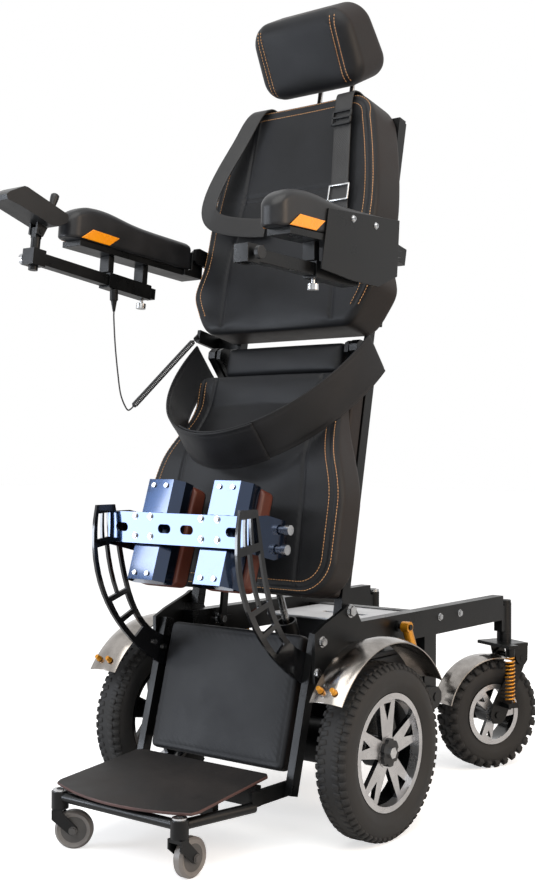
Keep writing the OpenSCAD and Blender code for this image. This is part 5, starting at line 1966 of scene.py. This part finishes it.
@dataclass
class ControllerCord:
    """The cord from the right armrest to the back: a straight lead, then a curl."""

    exit: tuple[float, float, float] = (-262.0, -190.0, 1080.0)
    lead: tuple[tuple[float, float, float], ...] = ((-262, -186, 1010), (-262, -178, 950), (-262, -168, 900))
    bezier: tuple[tuple[float, float, float], ...] = (
        (-262, -130, 876), (-262, -66, 926), (-262, 0, 980), (-258, 66, 1034),
    )
    wire: float = 3.4
    curl: float = 14.0
    turns: int = 50
    def axis(self, t: Array) -> Array:
        """Give points of the curl's middle line, in metres."""
        a, b, c, d = (np.array(row(*p)) for p in self.bezier)
        t = t[:, None]
        return (1 - t) ** 3 * a + 3 * (1 - t) ** 2 * t * b + 3 * (1 - t) * t**2 * c + t**3 * d

    def path(self) -> Array:
        """Lay the cord's whole line.

        Returns:
            Rows of points in metres.
        """
        t = np.linspace(0, 1, self.turns * 16 + 1)
        middle = self.axis(t)
        along = unit(np.gradient(middle, axis=0))
        side = unit(np.cross(along, [1.0, 0, 0]))
        up = np.cross(along, side)
        turn = 2 * math.pi * self.turns * t[:, None]
        radius = (self.curl - self.wire) / 2 * MM
        grow = np.clip(np.minimum(t, 1 - t) * self.turns / 1.2, 0, 1)[:, None]
        coil = middle + radius * grow * (np.cos(turn) * side + np.sin(turn) * up)
        start, heading = middle[0], along[0]
        exit = np.array(row(*self.exit))
        lead = [exit, exit - np.array([0, 0, 0.016]), *(np.array(row(*p)) for p in self.lead),
                start - 0.024 * heading + np.array([0, 0, 0.008]), start - 0.008 * heading, start]
        return np.vstack([even_path(spline(lead, 10), 0.004)[:-1], coil])

    def build(self) -> None:
        """Make the cord as one tube that bends between armrest and back."""
        path = self.path()
        obj = sweep("controller_cord", path, self.wire / 2 * MM, 8)
        dress(obj, CORD)
        shade(obj, 60)
        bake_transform(obj)
        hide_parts("cord_lead", "cord_curl")


@dataclass
class Controls:
    """Controller housing, joystick and foot mat."""

    lean: float = 20.0

    def joystick(self) -> None:
        """Turn the stick with its bellows."""
        low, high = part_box("joystick")
        tall = (high.z - low.z) / MM
        profile = [(0, 0), (0, 17), (2, 18), (4, 14), (6, 16.5), (8, 12), (10, 14.5), (12, 9), (16, 7), (20, 6.4),
                   (tall * 0.55, 7.2), (tall * 0.82, 9), (tall * 0.95, 9), (tall, 6), (tall, 0)]
        obj = lathe("joystick_grip", profile, 40, closed=False)
        put(obj, PIVOTS["joystick_pitch"], towards(leaning(AXLE, self.lean).up))
        dress(obj, PLASTIC)
        shade(obj, 50)
        place_piece(obj, "joystick", Slot.HOUSING, "joystick")

    def build(self) -> None:
        """Make the controls and the mat, whose edge takes the second finish."""
        self.joystick()
        Rigid("controller_housing", "controller", Slot.HOUSING, (PLASTIC, STEEL), 5.0, small_parts(26), 4).build()
        Rigid("footplate_panel", "footplate", Slot.MAT, (MAT, MAT_EDGE), 1.5,
              lambda faces: (faces.normal[:, 2] < 0.5).astype(int), 3).build()


# Stage


@dataclass(frozen=True)
class Softbox:
    """An area light, in metres and watts."""

    name: str
    place: Point
    target: Point
    size: tuple[float, float]
    power: float
    tint: str

    def build(self) -> None:
        """Hang the light and point it at its target."""
        data = bpy.data.lights.new(self.name, "AREA")
        data.shape = "RECTANGLE"
        data.size, data.size_y = self.size
        data.energy = self.power
        data.color = colour(self.tint)[:3]
        lamp = linked(self.name, data)
        lamp.location = Vector(self.place)
        lamp.rotation_euler = (Vector(self.target) - Vector(self.place)).to_track_quat("-Z", "Y").to_euler()


LIGHTS = (
    Softbox("key_above", (0.9, -1.6, 3.4), (0, -0.1, 0.9), (3.4, 3.4), 100, "fffdf8"),
    Softbox("cool_front", (-2.1, -2.75, 0.48), (0, -0.4, 0.6), (1.0, 0.8), 40, "e6eefa"),
    Softbox("cool_high", (-1.85, -2.45, 1.85), (0, -0.4, 0.6), (0.7, 0.6), 20, "e9f0fb"),
    Softbox("warm_side", (3.2, 0.4, 1.6), (0.2, 0, 0.7), (1.4, 2.4), 55, "ffe2c4"),
)


@dataclass
class Studio:
    """Camera, room and floor of the photograph."""

    eye: tuple[float, float, float] = (1721.87, -2158.23, 778.08)
    yaw: float = 38.37
    pitch: float = -0.39
    roll: float = 0.11
    lens: float = 52.09
    room_light: float = 0.45
    floor_tone: float = 0.86
    floor_glow: float = 0.62

    def camera(self) -> None:
        """Set the camera where the photograph was taken."""
        a, e, r = (math.radians(v) for v in (self.yaw, self.pitch, self.roll))
        back = Vector((math.sin(a) * math.cos(e), -math.cos(a) * math.cos(e), math.sin(e)))
        right = Vector((math.cos(a), math.sin(a), 0))
        up = back.cross(right)
        side = math.cos(r) * right + math.sin(r) * up
        top = math.cos(r) * up - math.sin(r) * right
        data = bpy.data.cameras.new("photo_camera")
        data.lens = self.lens
        data.sensor_width = 36
        data.clip_end = 50
        camera = linked("photo_camera", data)
        camera.matrix_world = Matrix.Translation(row(*self.eye)) @ Matrix((side, top, back)).transposed().to_4x4()
        bpy.context.scene.camera = camera

    def world(self) -> None:
        """Show white behind the chair, and light it softly from all round."""
        world = bpy.data.worlds.new("white_room")
        bpy.context.scene.world = world
        world.use_nodes = True
        tree = world.node_tree
        tree.nodes.clear()
        paper = add_node(tree, "Background", Color=WHITE, Strength=1.0)
        room = add_node(tree, "Background", Color=WHITE, Strength=self.room_light)
        path = add_node(tree, "LightPath")
        seen = path.outputs["Is Camera Ray"]
        for kind in ("Is Glossy Ray", "Is Transmission Ray"):
            add = add_node(tree, "Math")
            add.operation = "MAXIMUM"
            tree.links.new(seen, add.inputs[0])
            tree.links.new(path.outputs[kind], add.inputs[1])
            seen = add.outputs[0]
        mix = add_node(tree, "MixShader")
        for k, socket in enumerate((seen, room.outputs[0], paper.outputs[0])):
            tree.links.new(socket, mix.inputs[k])
        tree.links.new(mix.outputs[0], add_node(tree, "OutputWorld").inputs["Surface"])

    def floor(self) -> None:
        """Lay a pale floor that takes the chair's shadow."""
        bpy.ops.mesh.primitive_plane_add(size=40)
        floor = named("paper_floor")
        material = bpy.data.materials.new("white_paper")
        material.use_nodes = True
        tree = material.node_tree
        shader = tree.nodes["Principled BSDF"]
        for socket, value in (("Base Color", (*[self.floor_tone] * 3, 1)), ("Roughness", 0.9),
                              ("Specular IOR Level", 0.1), ("Emission Color", WHITE)):
            shader.inputs[socket].default_value = value
        scale = add_node(tree, "Math")
        scale.operation = "MULTIPLY"
        scale.inputs[1].default_value = self.floor_glow
        tree.links.new(add_node(tree, "LightPath").outputs["Is Camera Ray"], scale.inputs[0])
        tree.links.new(scale.outputs[0], shader.inputs["Emission Strength"])
        floor.data.materials.append(material)

    def build(self) -> None:
        """Set up the studio."""
        view = bpy.context.scene.view_settings
        view.view_transform, view.look = "Standard", "None"
        self.camera()
        self.world()
        self.floor()
        for light in LIGHTS:
            light.build()


def main() -> None:
    """Build the chair's looks and its studio."""
    logging.basicConfig(level=logging.INFO, format="%(message)s")
    for piece in rigid_pieces():
        piece.build()
    Upholstery().build()
    Armrests().build()
    Wheels().build()
    for side in Side:
        CasterSpring(side).build()
    Belts().build()
    Bolts().build()
    ControllerCord().build()
    Controls().build()
    Studio().build()


if __name__ == "__main__":
    main()
